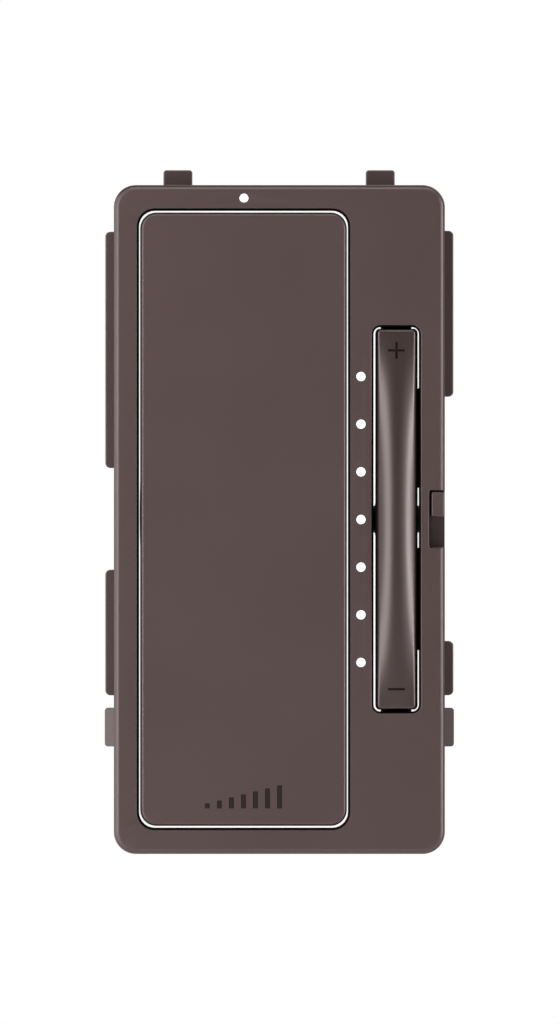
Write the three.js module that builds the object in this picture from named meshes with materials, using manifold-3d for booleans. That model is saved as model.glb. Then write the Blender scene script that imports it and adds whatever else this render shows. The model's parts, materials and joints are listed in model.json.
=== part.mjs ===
// Dimmer switch module: a rocking on-off paddle, a rocking level bar and an air-gap slider in one snap-in body.
// Millimetres. +X is to the right, +Z up and +Y into the wall; Y = 0 is the seat plane behind the side flanges.
import * as THREE from "three";
import { mergeVertices } from "three/addons/utils/BufferGeometryUtils.js";
import Module from "manifold-3d";

const wasm = await Module();
wasm.setup();

// ---------- driving dimensions ----------

const GAP = 0.05; // between two pieces that touch
const OVERLAP = 0.2; // how far two joined shapes run into each other
const OVERCUT = 1; // how far a cutting shape runs past the face that it cuts
const PIVOT_Y = -3.9; // the rod under the paddle and the pin under the bar lie at this depth

const FACE = { width: 33.0, height: 66.7, corner: 2.2, front: -6.5, back: -4.9, wall: 1.2, inner_corner: 1.0 };
const FLANGE = { front: -1.4, reach: 17.39, root: 15.59, corner: 0.5 };
const FLANGE_PLACES = [
  { side: -1, z: [5.14, 28.75] },
  { side: -1, z: [-17.57, -5.02] },
  { side: 1, z: [12.27, 28.85] },
  { side: 1, z: [-17.56, -12.14] },
];
const TOP_TAB = { width: 2.89, top: 34.9, root: 32.4, centres: [-10.135, 10.085], corner: 0.25 };
const LATCH = { z: -20.74, height: 3.86, root: 15.95, nose: 16.3, reach: 17.44, y: [-2.6, -0.1], slope: 0.5 };
const LATCH_POCKET = { z: [-22.9, -18.6], floor: 15.9, front: -3.0 };

const PADDLE = { x: -3.575, z: 0.045, width: 20.42, height: 61.07, corner: 1.5, front: -6.55, plate: 1.2 };
const PADDLE_SKIRT = { wall: 0.9, back: -4.4 };
const PADDLE_RIB = { places: [-17, -9, 9, 17], thickness: 0.8, back: -4.7 };
const PADDLE_BULGE = { z: [-5.0, 6.1], left: 0.14, right: 0.06, root: 0.4, front: -5.6 };
const PADDLE_WINDOW = { x: -3.575, z: 0.02, width: 21.25, height: 62.1, corner: 1.8 };
const LEVEL_MARK = { z: -28.8, bars: 7, pitch: 1.2, width: 0.5, shortest: 0.5, step: 0.3, depth: 0.1 };

const BAR = { x: 11.68, z: 0.03, width: 3.8, height: 37.8, front: -6.6, plate: 1.2, crown: 1.0 };
const BAR_SKIRT = { wall: 0.7, back: -4.2 };
const BAR_SIGN = { plus_z: 16.86, minus_z: -16.92, size: 1.7, stroke: 0.24, front: -8.1, floor: -6.62 };
const BAR_WINDOW = { x: 11.645, z: 0.015, width: 4.9, height: 38.71, corner: 0.87 };
const BAR_TONGUE = { width: 2.77, reach: 20.3, root: 18.0, y: [-4.3, -3.7] };
const BAR_HUB = { radius: 1.215, reach: 2.405, taper_z: 2.54, taper_y: [-5.0, -4.3] };
const WINDOW_RAIL = { x: [13.7, 14.6], back: -3.5, spans: [[3.15, 13.1], [-13.04, -2.81]] };

const PADDLE_AXIS_X = -3.535;
const PADDLE_ROD = { radius: 0.72, bore: 0.8, half_length: 8.1 };
const PADDLE_LUG = { inner: 6.2, outer: 8.2, half_height: 1.6, back: -2.75 };
const PADDLE_EAR = { inner: 4.2, outer: 5.8, half_height: 1.6, front: -4.9 };
const BAR_AXIS_X = 11.65;
const BAR_PIN = { radius: 0.6, bore: 0.66, half_length: 1.85 };
const BAR_EAR = { half_width: 0.6, half_height: 1.3, front: -4.7, clearance: 0.1 };

const LIGHT_HOLE = { radius: 0.462, back: -2.2 };
const LEVEL_LIGHTS = { x: 8.14, z: 0, pitch: 4.753, count: 7 };
const LOCATOR = { x: -3.53, z: 32.07, stem_z: 29.7 };
const PIP = { radius: 0.43, front: -6.35 };
const STEM = { radius: 0.6, back: 0.6, clearance: 0.25 };

const LIGHT_GUIDE = { front: -3.4, back: -2.4, width: 30.2, height: 63.8 };
const GUIDE_TAB = { half_width: 1.2, top: 32.6, clearance: 0.2 };
const PADDLE_OPENING = { width: 17.5, height: 58, corner: 1 };
const BAR_OPENING = { x: [10.1, 13.2], half_height: 21, hub_x: [8.9, 14.4], hub_half_height: 1.35 };

const CHASSIS = { front: -2.3, back: -1.1, width: 30.2, height: 63.8 };
const LUG = { centres: [-8, 8], half_width: 1.5, root: 31, reach: 32.7, y: [-2.2, -1.2] };
const LUG_POCKET = { half_width: 1.8, reach: 32.85, y: [-2.6, -0.9] };

const NOTCH = { x: 14.93, z: [-2.88, 2.95] };
const LEDGE = { x: 15.0, front: -3.9, back: -3.0, margin: 0.5 };
const KNOB = { x: [15.17, 16.42], z: [0.29, 2.73], front: -6.45, back: -4.0 };
const SLIDER = { x: [14.3, 14.9], z: [0.5, 2.5], front: -4.75, back: -0.25, foot_x: 11.8, foot_front: -0.9 };
const SLIDER_CUT = { guide_x: 14.2, chassis_x: 14.1, housing_x: 11, half_height: 3.4 };
const CONTACT = { z: [0.7, 2.3], xs: [[11.9, 12.5], [12.9, 13.5]], front: 0.15 };
const CONTACT_BRIDGE_END = 13.6;

const SWITCH = { size: 3.4, front: -1.6, bore: 1.0, bore_back: 0.3, opening: 4.2 };
const PLUNGER = { radius: 0.9, front: -2.85, back: -0.55 };
const POST = { back: -2.9, paddle: [2.4, 2.4], bar: [1.6, 2.0] };
const SWITCH_PLACES = {
  paddle_upper: { x: -3.53, z: 24 },
  paddle_lower: { x: -3.53, z: -24 },
  bar_upper: { x: 11.65, z: 15 },
  bar_lower: { x: 11.65, z: -15 },
};

const UI_BOARD = { half_width: 13.5, half_height: 30, front: 1.2, back: 2.0 };
const POWER_BOARD = { half_width: 13.5, half_height: 29.8, front: 6.0, back: 7.6 };
const PARTS_FRONT = POWER_BOARD.back + GAP;
const SHEET = { half_width: 13, half_height: 29, front: 4.4, back: 4.7 };
const LIGHT = { width: 0.8, height: 1.6, thickness: 0.4 };
const HEADER = { x: [-12.2, -9.8], z: [-10.5, 5], clearance: 0.5 };
const MICROCONTROLLER = { x: -1, z: 6, size: 7, back: 3.05 };
const FILM_CAPACITOR = { width: 13, z: [18, 24], back: 19.65 };
const CHOKE = { z: -19.5, inner: 3.4, outer: 6.6, y: [8.6, 14.6], winding: 0.9, clearance: 0.08, break_width: 3.6 };
const TRIAC = { x: 5, width: 10, z: [-3, 12], front: 17.8 };
const TRIAC_LEAD = { pitch: 2.54, width: 0.7, y: [19.6, 20.2], z: [-5.5, -2.5], thickness: 0.6 };
const HEAT_SINK = { half_width: 13, half_height: 25, front: 22.3, back: 23.8 };
const ELECTROLYTIC = { x: -9.5, z: -7.5, radius: 3.15, back: 17 };
const VARISTOR = { x: [7.5, 10.5], y: 11.3, z: 3.5, radius: 3.5 };
const FUSE = { x: -9.5, y: 9.4, z: [1, 11], radius: 1.6 };

const HOUSING = { width: 30.4, height: 64.0, corner: 0.9, front: -1.0, back: 25.5, wall: 1.4 };
const LABEL = { width: 18, height: 36, thickness: 0.2 };
const SCREW = { x: 11.3, z: 28.0, radius: 0.9, bore: 1.02, front: 2.5 };
const SCREW_HEAD = { radius: 1.8, front: 24.3, back: 25.3, bore: 2.0 };
const SCREW_CROSS = { size: 2.2, slot: 0.5, depth: 0.5 };
const COLUMN_RADIUS = 2.2;
const CHASSIS_POST = { radius: 1.9, corner_x: 9.1, corner_z: 25.8 };
const STAKE = { xs: [-11.5, 3.2], zs: [-12, 12], radius: 0.7, shoulder: 1.4, back: 2.6, clearance: 0.1 };

const TERMINAL = { z: 20, y: [11.0, 20.0], half_height: 4.2, floor: 12.2, shell: 1.2, inset: 0.1 };
const CLAMP = { x: [12.3, 13.3], y: [12.0, 19.0], half_height: 3.2, tail_half: 0.8, bore: 1.35 };
const TAIL_SLOT = { front: 9, clearance: 0.1 };
const TERMINAL_SCREW = { radius: 1.2, x: [12.4, 13.5] };
const TERMINAL_HEAD = { radius: 2.6, x: [13.5, 14.9], slot: 0.6, slot_depth: 0.6 };

// ---------- shapes ----------

// A span [low, high] of a size about a centre.
function span(centre, size) {
  return [centre - size / 2, centre + size / 2];
}

// A span on the right, or the same span on the left where side is -1.
function onSide(side, [low, high]) {
  return side < 0 ? [-high, -low] : [low, high];
}

// The solid of a closed three.js geometry.
function solid(geometry) {
  geometry.deleteAttribute("normal");
  geometry.deleteAttribute("uv");
  const merged = mergeVertices(geometry, 1e-4);
  const vertProperties = new Float32Array(merged.attributes.position.array);
  const triVerts = new Uint32Array(merged.index.array);
  return new wasm.Manifold(new wasm.Mesh({ numProp: 3, vertProperties, triVerts }));
}

function join(...solids) {
  return solids.reduce((whole, piece) => whole.add(piece));
}

function cut(whole, ...tools) {
  return tools.reduce((rest, tool) => rest.subtract(tool), whole);
}

function box(x, y, z) {
  const geometry = new THREE.BoxGeometry(x[1] - x[0], y[1] - y[0], z[1] - z[0]);
  geometry.translate((x[0] + x[1]) / 2, (y[0] + y[1]) / 2, (z[0] + z[1]) / 2);
  return solid(geometry);
}

// An X-Z outline made solid between two Y planes.
function extrudeAcrossY(shape, y, curveSegments = 1) {
  const geometry = new THREE.ExtrudeGeometry(shape, { depth: y[1] - y[0], bevelEnabled: false, curveSegments });
  geometry.rotateX(Math.PI / 2);
  geometry.translate(0, y[1], 0);
  return solid(geometry);
}

// A plate with rounded corners, seen from the front, between two Y planes.
function roundedPlate(x, y, z, radius) {
  const shape = new THREE.Shape();
  shape.absarc(x[1] - radius, z[1] - radius, radius, 0, Math.PI / 2);
  shape.absarc(x[0] + radius, z[1] - radius, radius, Math.PI / 2, Math.PI);
  shape.absarc(x[0] + radius, z[0] + radius, radius, Math.PI, 1.5 * Math.PI);
  shape.absarc(x[1] - radius, z[0] + radius, radius, 1.5 * Math.PI, 2 * Math.PI);
  return extrudeAcrossY(shape, y, 5);
}

function rodAlongX(radius, x, y, z, sides = 20) {
  const geometry = new THREE.CylinderGeometry(radius, radius, x[1] - x[0], sides);
  geometry.rotateZ(Math.PI / 2);
  geometry.translate((x[0] + x[1]) / 2, y, z);
  return solid(geometry);
}

function rodAlongY(radius, y, x, z, sides = 12) {
  const geometry = new THREE.CylinderGeometry(radius, radius, y[1] - y[0], sides);
  geometry.translate(x, (y[0] + y[1]) / 2, z);
  return solid(geometry);
}

function rodAlongZ(radius, z, x, y, sides = 16) {
  const geometry = new THREE.CylinderGeometry(radius, radius, z[1] - z[0], sides);
  geometry.rotateX(Math.PI / 2);
  geometry.translate(x, y, (z[0] + z[1]) / 2);
  return solid(geometry);
}

// A ring of rectangular section about a Y axis.
function ringAboutY(inner, outer, y, z, sides = 28) {
  const section = [
    new THREE.Vector2(inner, y[0]),
    new THREE.Vector2(outer, y[0]),
    new THREE.Vector2(outer, y[1]),
    new THREE.Vector2(inner, y[1]),
    new THREE.Vector2(inner, y[0]),
  ];
  const geometry = new THREE.LatheGeometry(section, sides);
  geometry.translate(0, 0, z);
  return solid(geometry);
}

// ---------- places ----------

const bothSides = [-1, 1];
const corners = bothSides.flatMap((sx) => bothSides.map((sz) => ({ sx, sz })));
const screwPlaces = corners.map(({ sx, sz }) => ({ x: sx * SCREW.x, z: sz * SCREW.z }));
const levelLightPlaces = Array.from({ length: LEVEL_LIGHTS.count }, (_, i) => ({
  x: LEVEL_LIGHTS.x,
  z: LEVEL_LIGHTS.z + (i - (LEVEL_LIGHTS.count - 1) / 2) * LEVEL_LIGHTS.pitch,
}));
const holePlaces = [...levelLightPlaces, { x: LOCATOR.x, z: LOCATOR.z }];
const stemPlaces = [...levelLightPlaces, { x: LOCATOR.x, z: LOCATOR.stem_z }];
const stakePlaces = STAKE.xs.flatMap((x) => STAKE.zs.map((z) => ({ x, z })));
const FACE_X = span(0, FACE.width);
const FACE_Z = span(0, FACE.height);
const INNER_X = span(0, FACE.width - 2 * FACE.wall);
const INNER_Z = span(0, FACE.height - 2 * FACE.wall);

// ---------- the face ----------

function makeFaceFrame() {
  const outer = roundedPlate(FACE_X, [FACE.front, 0], FACE_Z, FACE.corner);
  const pocket = roundedPlate(INNER_X, [FACE.back, OVERCUT], INNER_Z, FACE.inner_corner);
  const through = [FACE.front - OVERCUT, FACE.back + OVERCUT];
  const windows = [PADDLE_WINDOW, BAR_WINDOW].map((window) =>
    roundedPlate(span(window.x, window.width), through, span(window.z, window.height), window.corner),
  );
  const holes = holePlaces.map(({ x, z }) =>
    rodAlongY(LIGHT_HOLE.radius, [FACE.front - OVERCUT, LIGHT_HOLE.back], x, z),
  );
  const notch = box([NOTCH.x, FACE_X[1] + OVERCUT], [FACE.front - OVERCUT, LEDGE.front], NOTCH.z);
  const ledge = box(
    [LEDGE.x, INNER_X[1] + OVERLAP], [LEDGE.front, LEDGE.back],
    [NOTCH.z[0] - LEDGE.margin, NOTCH.z[1] + LEDGE.margin],
  );
  const flanges = FLANGE_PLACES.map(({ side, z }) =>
    roundedPlate(onSide(side, [FLANGE.root, FLANGE.reach]), [FLANGE.front, 0], z, FLANGE.corner),
  );
  const tabs = TOP_TAB.centres.map((x) =>
    roundedPlate(span(x, TOP_TAB.width), [FLANGE.front, 0], [TOP_TAB.root, TOP_TAB.top], TOP_TAB.corner),
  );
  const rails = WINDOW_RAIL.spans.map((z) => box(WINDOW_RAIL.x, [FACE.back - OVERLAP, WINDOW_RAIL.back], z));
  const latchPockets = bothSides.map((side) =>
    box(onSide(side, [LATCH_POCKET.floor, FACE.width]), [LATCH_POCKET.front, OVERCUT], LATCH_POCKET.z),
  );
  const lugPockets = LUG.centres.flatMap((x) =>
    bothSides.map((side) =>
      box(span(x, 2 * LUG_POCKET.half_width), LUG_POCKET.y, onSide(side, [LUG.root, LUG_POCKET.reach])),
    ),
  );
  const guidePocket = box(
    span(LOCATOR.x, 2 * (GUIDE_TAB.half_width + GUIDE_TAB.clearance)),
    [LIGHT_GUIDE.front - GUIDE_TAB.clearance, LIGHT_GUIDE.back + GUIDE_TAB.clearance],
    [LUG.root, GUIDE_TAB.top + GUIDE_TAB.clearance],
  );
  const shell = cut(outer, pocket, ...windows, notch);
  const grown = join(shell, ledge, ...flanges, ...tabs, ...rails);
  return cut(grown, ...holes, ...latchPockets, ...lugPockets, guidePocket);
}

// A latch on the right side, sloped at the front so that it springs under the wall plate's edge.
function makeLatch() {
  const shape = new THREE.Shape();
  shape.moveTo(LATCH.root, LATCH.y[0]);
  shape.lineTo(LATCH.nose, LATCH.y[0]);
  shape.lineTo(LATCH.reach, LATCH.y[0] + LATCH.slope);
  shape.lineTo(LATCH.reach, LATCH.y[1]);
  shape.lineTo(LATCH.root, LATCH.y[1]);
  const geometry = new THREE.ExtrudeGeometry(shape, { depth: LATCH.height, bevelEnabled: false });
  geometry.translate(0, 0, -LATCH.height / 2);
  return solid(geometry);
}

// ---------- the paddle ----------

// Bars of rising height, a plain sign for a lamp's level.
function levelMark() {
  const y = [PADDLE.front - OVERCUT, PADDLE.front + LEVEL_MARK.depth];
  return Array.from({ length: LEVEL_MARK.bars }, (_, i) => {
    const x = PADDLE.x + (i - (LEVEL_MARK.bars - 1) / 2) * LEVEL_MARK.pitch;
    const height = LEVEL_MARK.shortest + LEVEL_MARK.step * i;
    return box(span(x, LEVEL_MARK.width), y, [LEVEL_MARK.z, LEVEL_MARK.z + height]);
  });
}

// A slim bulge on the skirt's side that keeps the paddle central in its window.
function sideBulge(edge, reach) {
  const [low, high] = PADDLE_BULGE.z;
  const inside = edge - Math.sign(reach) * PADDLE_BULGE.root;
  const shape = new THREE.Shape();
  shape.moveTo(inside, low);
  shape.lineTo(edge, low);
  shape.quadraticCurveTo(edge + 2 * reach, (low + high) / 2, edge, high);
  shape.lineTo(inside, high);
  return extrudeAcrossY(shape, [PADDLE_BULGE.front, PADDLE_SKIRT.back], 8);
}

// A post on the back of the paddle or the bar that pushes one plunger.
function pushPost(place, [width, height], front) {
  return box(span(place.x, width), [front, POST.back], span(place.z, height));
}

function makePaddle() {
  const x = span(PADDLE.x, PADDLE.width);
  const z = span(PADDLE.z, PADDLE.height);
  const wall = PADDLE_SKIRT.wall;
  const innerX = [x[0] + wall, x[1] - wall];
  const innerZ = [z[0] + wall, z[1] - wall];
  const plateBack = PADDLE.front + PADDLE.plate;
  const root = plateBack - OVERLAP;
  const outer = roundedPlate(x, [PADDLE.front, PADDLE_SKIRT.back], z, PADDLE.corner);
  const hollow = roundedPlate(innerX, [plateBack, 0], innerZ, PADDLE.corner - wall);
  const lugs = bothSides.map((side) => {
    const centre = PADDLE_AXIS_X + (side * (PADDLE_LUG.inner + PADDLE_LUG.outer)) / 2;
    const width = PADDLE_LUG.outer - PADDLE_LUG.inner;
    return box(span(centre, width), [root, PADDLE_LUG.back], span(0, 2 * PADDLE_LUG.half_height));
  });
  const posts = [SWITCH_PLACES.paddle_upper, SWITCH_PLACES.paddle_lower].map((place) =>
    pushPost(place, POST.paddle, root),
  );
  const ribX = [innerX[0] - OVERLAP, innerX[1] + OVERLAP];
  const ribs = PADDLE_RIB.places.map((place) =>
    box(ribX, [root, PADDLE_RIB.back], span(place, PADDLE_RIB.thickness)),
  );
  const boreX = span(PADDLE_AXIS_X, 2 * (PADDLE_LUG.outer + OVERLAP));
  const bore = rodAlongX(PADDLE_ROD.bore, boreX, PIVOT_Y, 0, 24);
  const bulges = [sideBulge(x[0], -PADDLE_BULGE.left), sideBulge(x[1], PADDLE_BULGE.right)];
  const grown = join(cut(outer, hollow), ...lugs, ...posts, ...ribs, ...bulges);
  return cut(grown, bore, ...levelMark());
}

// ---------- the level bar ----------

// A bar that is flat at its ends and crowned across and along its middle.
function crownedBar() {
  const depth = BAR.plate;
  const geometry = new THREE.BoxGeometry(BAR.width, depth, BAR.height, 8, 1, 18);
  const position = geometry.attributes.position;
  for (let i = 0; i < position.count; i += 1) {
    if (position.getY(i) < 0) {
      const across = 1 - (position.getX(i) / (BAR.width / 2)) ** 2;
      const along = 1 - (position.getZ(i) / (BAR.height / 2)) ** 2;
      position.setY(i, -depth / 2 - BAR.crown * across * along);
    }
  }
  geometry.translate(BAR.x, BAR.front + depth / 2, BAR.z);
  return solid(geometry);
}

// The strokes of a plus or a minus, to be cut from one end of the bar.
function barSign(z, isPlus) {
  const y = [BAR_SIGN.front, BAR_SIGN.floor];
  const across = box(span(BAR.x, BAR_SIGN.size), y, span(z, BAR_SIGN.stroke));
  const upright = box(span(BAR.x, BAR_SIGN.stroke), y, span(z, BAR_SIGN.size));
  return isPlus ? [across, upright] : [across];
}

// A wedge from the bar's side out to the hub.
function hubTaper(side) {
  const edge = BAR.x + (side * BAR.width) / 2;
  const inside = edge - side * OVERLAP;
  const hub = BAR_AXIS_X + side * BAR_HUB.reach;
  const shape = new THREE.Shape();
  shape.moveTo(inside, BAR.z - BAR_HUB.taper_z);
  shape.lineTo(edge, BAR.z - BAR_HUB.taper_z);
  shape.lineTo(hub, BAR.z - BAR_HUB.radius);
  shape.lineTo(hub, BAR.z + BAR_HUB.radius);
  shape.lineTo(edge, BAR.z + BAR_HUB.taper_z);
  shape.lineTo(inside, BAR.z + BAR_HUB.taper_z);
  return extrudeAcrossY(shape, BAR_HUB.taper_y);
}

function makeBar() {
  const x = span(BAR.x, BAR.width);
  const z = span(BAR.z, BAR.height);
  const wall = BAR_SKIRT.wall;
  const plateBack = BAR.front + BAR.plate;
  const root = plateBack - OVERLAP;
  const skirt = cut(
    box(x, [root, BAR_SKIRT.back], z),
    box([x[0] + wall, x[1] - wall], [plateBack, 0], [z[0] + wall, z[1] - wall]),
  );
  const tongues = bothSides.map((side) =>
    box(span(BAR_AXIS_X, BAR_TONGUE.width), BAR_TONGUE.y, onSide(side, [BAR_TONGUE.root, BAR_TONGUE.reach])),
  );
  const earSide = BAR_EAR.half_width + BAR_EAR.clearance;
  const hubs = bothSides.map((side) => {
    const [low, high] = onSide(side, [earSide, BAR_HUB.reach]);
    return rodAlongX(BAR_HUB.radius, [BAR_AXIS_X + low, BAR_AXIS_X + high], PIVOT_Y, BAR.z, 24);
  });
  const webHeight = 2 * BAR_HUB.radius - OVERLAP;
  const webs = [[x[0], BAR_AXIS_X - earSide], [BAR_AXIS_X + earSide, x[1]]].map((webX) =>
    box(webX, [root, PIVOT_Y], span(BAR.z, webHeight)),
  );
  const posts = [SWITCH_PLACES.bar_upper, SWITCH_PLACES.bar_lower].map((place) => pushPost(place, POST.bar, root));
  const bore = rodAlongX(BAR_PIN.bore, span(BAR_AXIS_X, 2 * BAR_PIN.half_length), PIVOT_Y, BAR.z, 24);
  const grown = join(crownedBar(), skirt, ...tongues, ...hubs, ...webs, ...bothSides.map(hubTaper), ...posts);
  return cut(grown, bore, ...barSign(BAR_SIGN.plus_z, true), ...barSign(BAR_SIGN.minus_z, false));
}

// ---------- the air-gap slider ----------

function makeSlider() {
  const knob = box(KNOB.x, [KNOB.front, KNOB.back], KNOB.z);
  const web = box([SLIDER.x[0], KNOB.x[0] + OVERLAP], [SLIDER.front, KNOB.back], SLIDER.z);
  const arm = box(SLIDER.x, [SLIDER.front, SLIDER.back], SLIDER.z);
  const foot = box([SLIDER.foot_x, SLIDER.x[1]], [SLIDER.foot_front, SLIDER.back], SLIDER.z);
  return join(knob, web, arm, foot);
}

// ---------- light guide and chassis ----------

function makeLightGuide() {
  const y = [LIGHT_GUIDE.front, LIGHT_GUIDE.back];
  const z = span(0, LIGHT_GUIDE.height);
  const deep = [y[0] - OVERCUT, y[1] + OVERCUT];
  const plate = roundedPlate(span(0, LIGHT_GUIDE.width), y, z, FACE.inner_corner);
  const tab = box(span(LOCATOR.x, 2 * GUIDE_TAB.half_width), y, [z[1] - OVERCUT, GUIDE_TAB.top]);
  const pips = holePlaces.map((p) => rodAlongY(PIP.radius, [PIP.front, y[1] - OVERLAP], p.x, p.z));
  const stems = stemPlaces.map((p) => rodAlongY(STEM.radius, [y[0] + OVERLAP, STEM.back], p.x, p.z));
  const openings = [
    roundedPlate(
      span(PADDLE_AXIS_X, PADDLE_OPENING.width), deep, span(0, PADDLE_OPENING.height), PADDLE_OPENING.corner,
    ),
    box(BAR_OPENING.x, deep, span(BAR.z, 2 * BAR_OPENING.half_height)),
    box(BAR_OPENING.hub_x, deep, span(BAR.z, 2 * BAR_OPENING.hub_half_height)),
    box([SLIDER_CUT.guide_x, FACE.width], deep, span(0, 2 * SLIDER_CUT.half_height)),
  ];
  return join(cut(join(plate, tab), ...openings), ...pips, ...stems);
}

function makeChassis() {
  const y = [CHASSIS.front, CHASSIS.back];
  const deep = [y[0] - OVERCUT, y[1] + OVERCUT];
  const root = y[1] - OVERLAP;
  const plate = roundedPlate(span(0, CHASSIS.width), y, span(0, CHASSIS.height), FACE.inner_corner);
  const lugs = LUG.centres.flatMap((x) =>
    bothSides.map((side) => box(span(x, 2 * LUG.half_width), LUG.y, onSide(side, [LUG.root, LUG.reach]))),
  );
  const paddleEars = bothSides.map((side) => {
    const centre = PADDLE_AXIS_X + (side * (PADDLE_EAR.inner + PADDLE_EAR.outer)) / 2;
    const width = PADDLE_EAR.outer - PADDLE_EAR.inner;
    return box(span(centre, width), [PADDLE_EAR.front, y[1]], span(0, 2 * PADDLE_EAR.half_height));
  });
  const barEar = box(
    span(BAR_AXIS_X, 2 * BAR_EAR.half_width), [BAR_EAR.front, y[1]], span(BAR.z, 2 * BAR_EAR.half_height),
  );
  const posts = screwPlaces.map(({ x, z }) =>
    rodAlongY(CHASSIS_POST.radius, [root, POWER_BOARD.front - GAP], x, z, 20),
  );
  const stakes = stakePlaces.flatMap(({ x, z }) => [
    rodAlongY(STAKE.shoulder, [root, UI_BOARD.front - GAP], x, z),
    rodAlongY(STAKE.radius, [root, STAKE.back], x, z),
  ]);
  const grown = join(plate, ...lugs, ...paddleEars, barEar, ...posts, ...stakes);
  const switchOpenings = Object.values(SWITCH_PLACES).map((place) =>
    box(span(place.x, SWITCH.opening), deep, span(place.z, SWITCH.opening)),
  );
  const stemHoles = stemPlaces.map(({ x, z }) => rodAlongY(STEM.radius + STEM.clearance, deep, x, z));
  const sliderCut = box([SLIDER_CUT.chassis_x, FACE.width], deep, span(0, 2 * SLIDER_CUT.half_height));
  const rodHole = rodAlongX(PADDLE_ROD.bore, span(PADDLE_AXIS_X, 2 * PADDLE_ROD.half_length), PIVOT_Y, 0, 24);
  const pinHole = rodAlongX(BAR_PIN.bore, span(BAR_AXIS_X, 2 * BAR_PIN.half_length), PIVOT_Y, BAR.z, 24);
  const screwHoles = screwPlaces.map(({ x, z }) =>
    rodAlongY(SCREW.bore, [SCREW.front - OVERCUT, POWER_BOARD.front + OVERCUT], x, z),
  );
  return cut(grown, ...switchOpenings, ...stemHoles, sliderCut, rodHole, pinHole, ...screwHoles);
}

// ---------- boards and their parts ----------

// The four corners that a board leaves free for the chassis posts.
function postClearances(y) {
  return corners.map(({ sx, sz }) =>
    box(
      onSide(sx, [CHASSIS_POST.corner_x, HOUSING.width]), y,
      onSide(sz, [CHASSIS_POST.corner_z, HOUSING.height]),
    ),
  );
}

// A rectangular board with the planes that a through cut in it needs.
function board({ front, back, half_width, half_height }) {
  const plate = box(span(0, 2 * half_width), [front, back], span(0, 2 * half_height));
  return { plate, through: [front - OVERCUT, back + OVERCUT] };
}

function makeUiBoard() {
  const { plate, through } = board(UI_BOARD);
  const holes = stakePlaces.map(({ x, z }) => rodAlongY(STAKE.radius + STAKE.clearance, through, x, z));
  return cut(plate, ...postClearances(through), ...holes);
}

function makePowerBoard() {
  const { plate, through } = board(POWER_BOARD);
  return cut(plate, ...screwPlaces.map(({ x, z }) => rodAlongY(SCREW.bore, through, x, z)));
}

function makeSheet() {
  const { plate, through } = board(SHEET);
  const clear = HEADER.clearance;
  const headerCut = box(
    [HEADER.x[0] - clear, HEADER.x[1] + clear], through, [HEADER.z[0] - clear, HEADER.z[1] + clear],
  );
  return cut(plate, ...postClearances(through), headerCut);
}

function makeSwitchBody() {
  const body = box(span(0, SWITCH.size), [SWITCH.front, UI_BOARD.front - GAP], span(0, SWITCH.size));
  return cut(body, rodAlongY(SWITCH.bore, [SWITCH.front - OVERCUT, SWITCH.bore_back], 0, 0));
}

function makePlunger() {
  return rodAlongY(PLUNGER.radius, [PLUNGER.front, PLUNGER.back], 0, 0);
}

function makeLight() {
  const y = [UI_BOARD.front - LIGHT.thickness, UI_BOARD.front - GAP];
  return box(span(0, LIGHT.width), y, span(0, LIGHT.height));
}

function makeChokeCore() {
  return ringAboutY(CHOKE.inner, CHOKE.outer, CHOKE.y, CHOKE.z);
}

// The winding goes round the core, with a break where its two ends leave for the board.
function makeChokeWinding() {
  const around = (thickness) =>
    ringAboutY(
      CHOKE.inner - thickness, CHOKE.outer + thickness, [CHOKE.y[0] - thickness, CHOKE.y[1] + thickness], CHOKE.z,
    );
  const reach = CHOKE.outer + 2 * CHOKE.winding;
  const y = [CHOKE.y[0] - 2 * CHOKE.winding, CHOKE.y[1] + 2 * CHOKE.winding];
  const gap = box(span(0, CHOKE.break_width), y, [CHOKE.z, CHOKE.z + reach]);
  return cut(around(CHOKE.winding), around(CHOKE.clearance), gap);
}

function makeTriac() {
  const body = box(span(TRIAC.x, TRIAC.width), [TRIAC.front, HEAT_SINK.front - GAP], TRIAC.z);
  const [bend, root] = TRIAC_LEAD.z;
  const leads = [-1, 0, 1].flatMap((place) => {
    const x = span(TRIAC.x + place * TRIAC_LEAD.pitch, TRIAC_LEAD.width);
    return [
      box(x, TRIAC_LEAD.y, [bend, root]),
      box(x, [PARTS_FRONT, TRIAC_LEAD.y[1]], [bend, bend + TRIAC_LEAD.thickness]),
    ];
  });
  return join(body, ...leads);
}

// ---------- housing and terminals ----------

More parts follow.
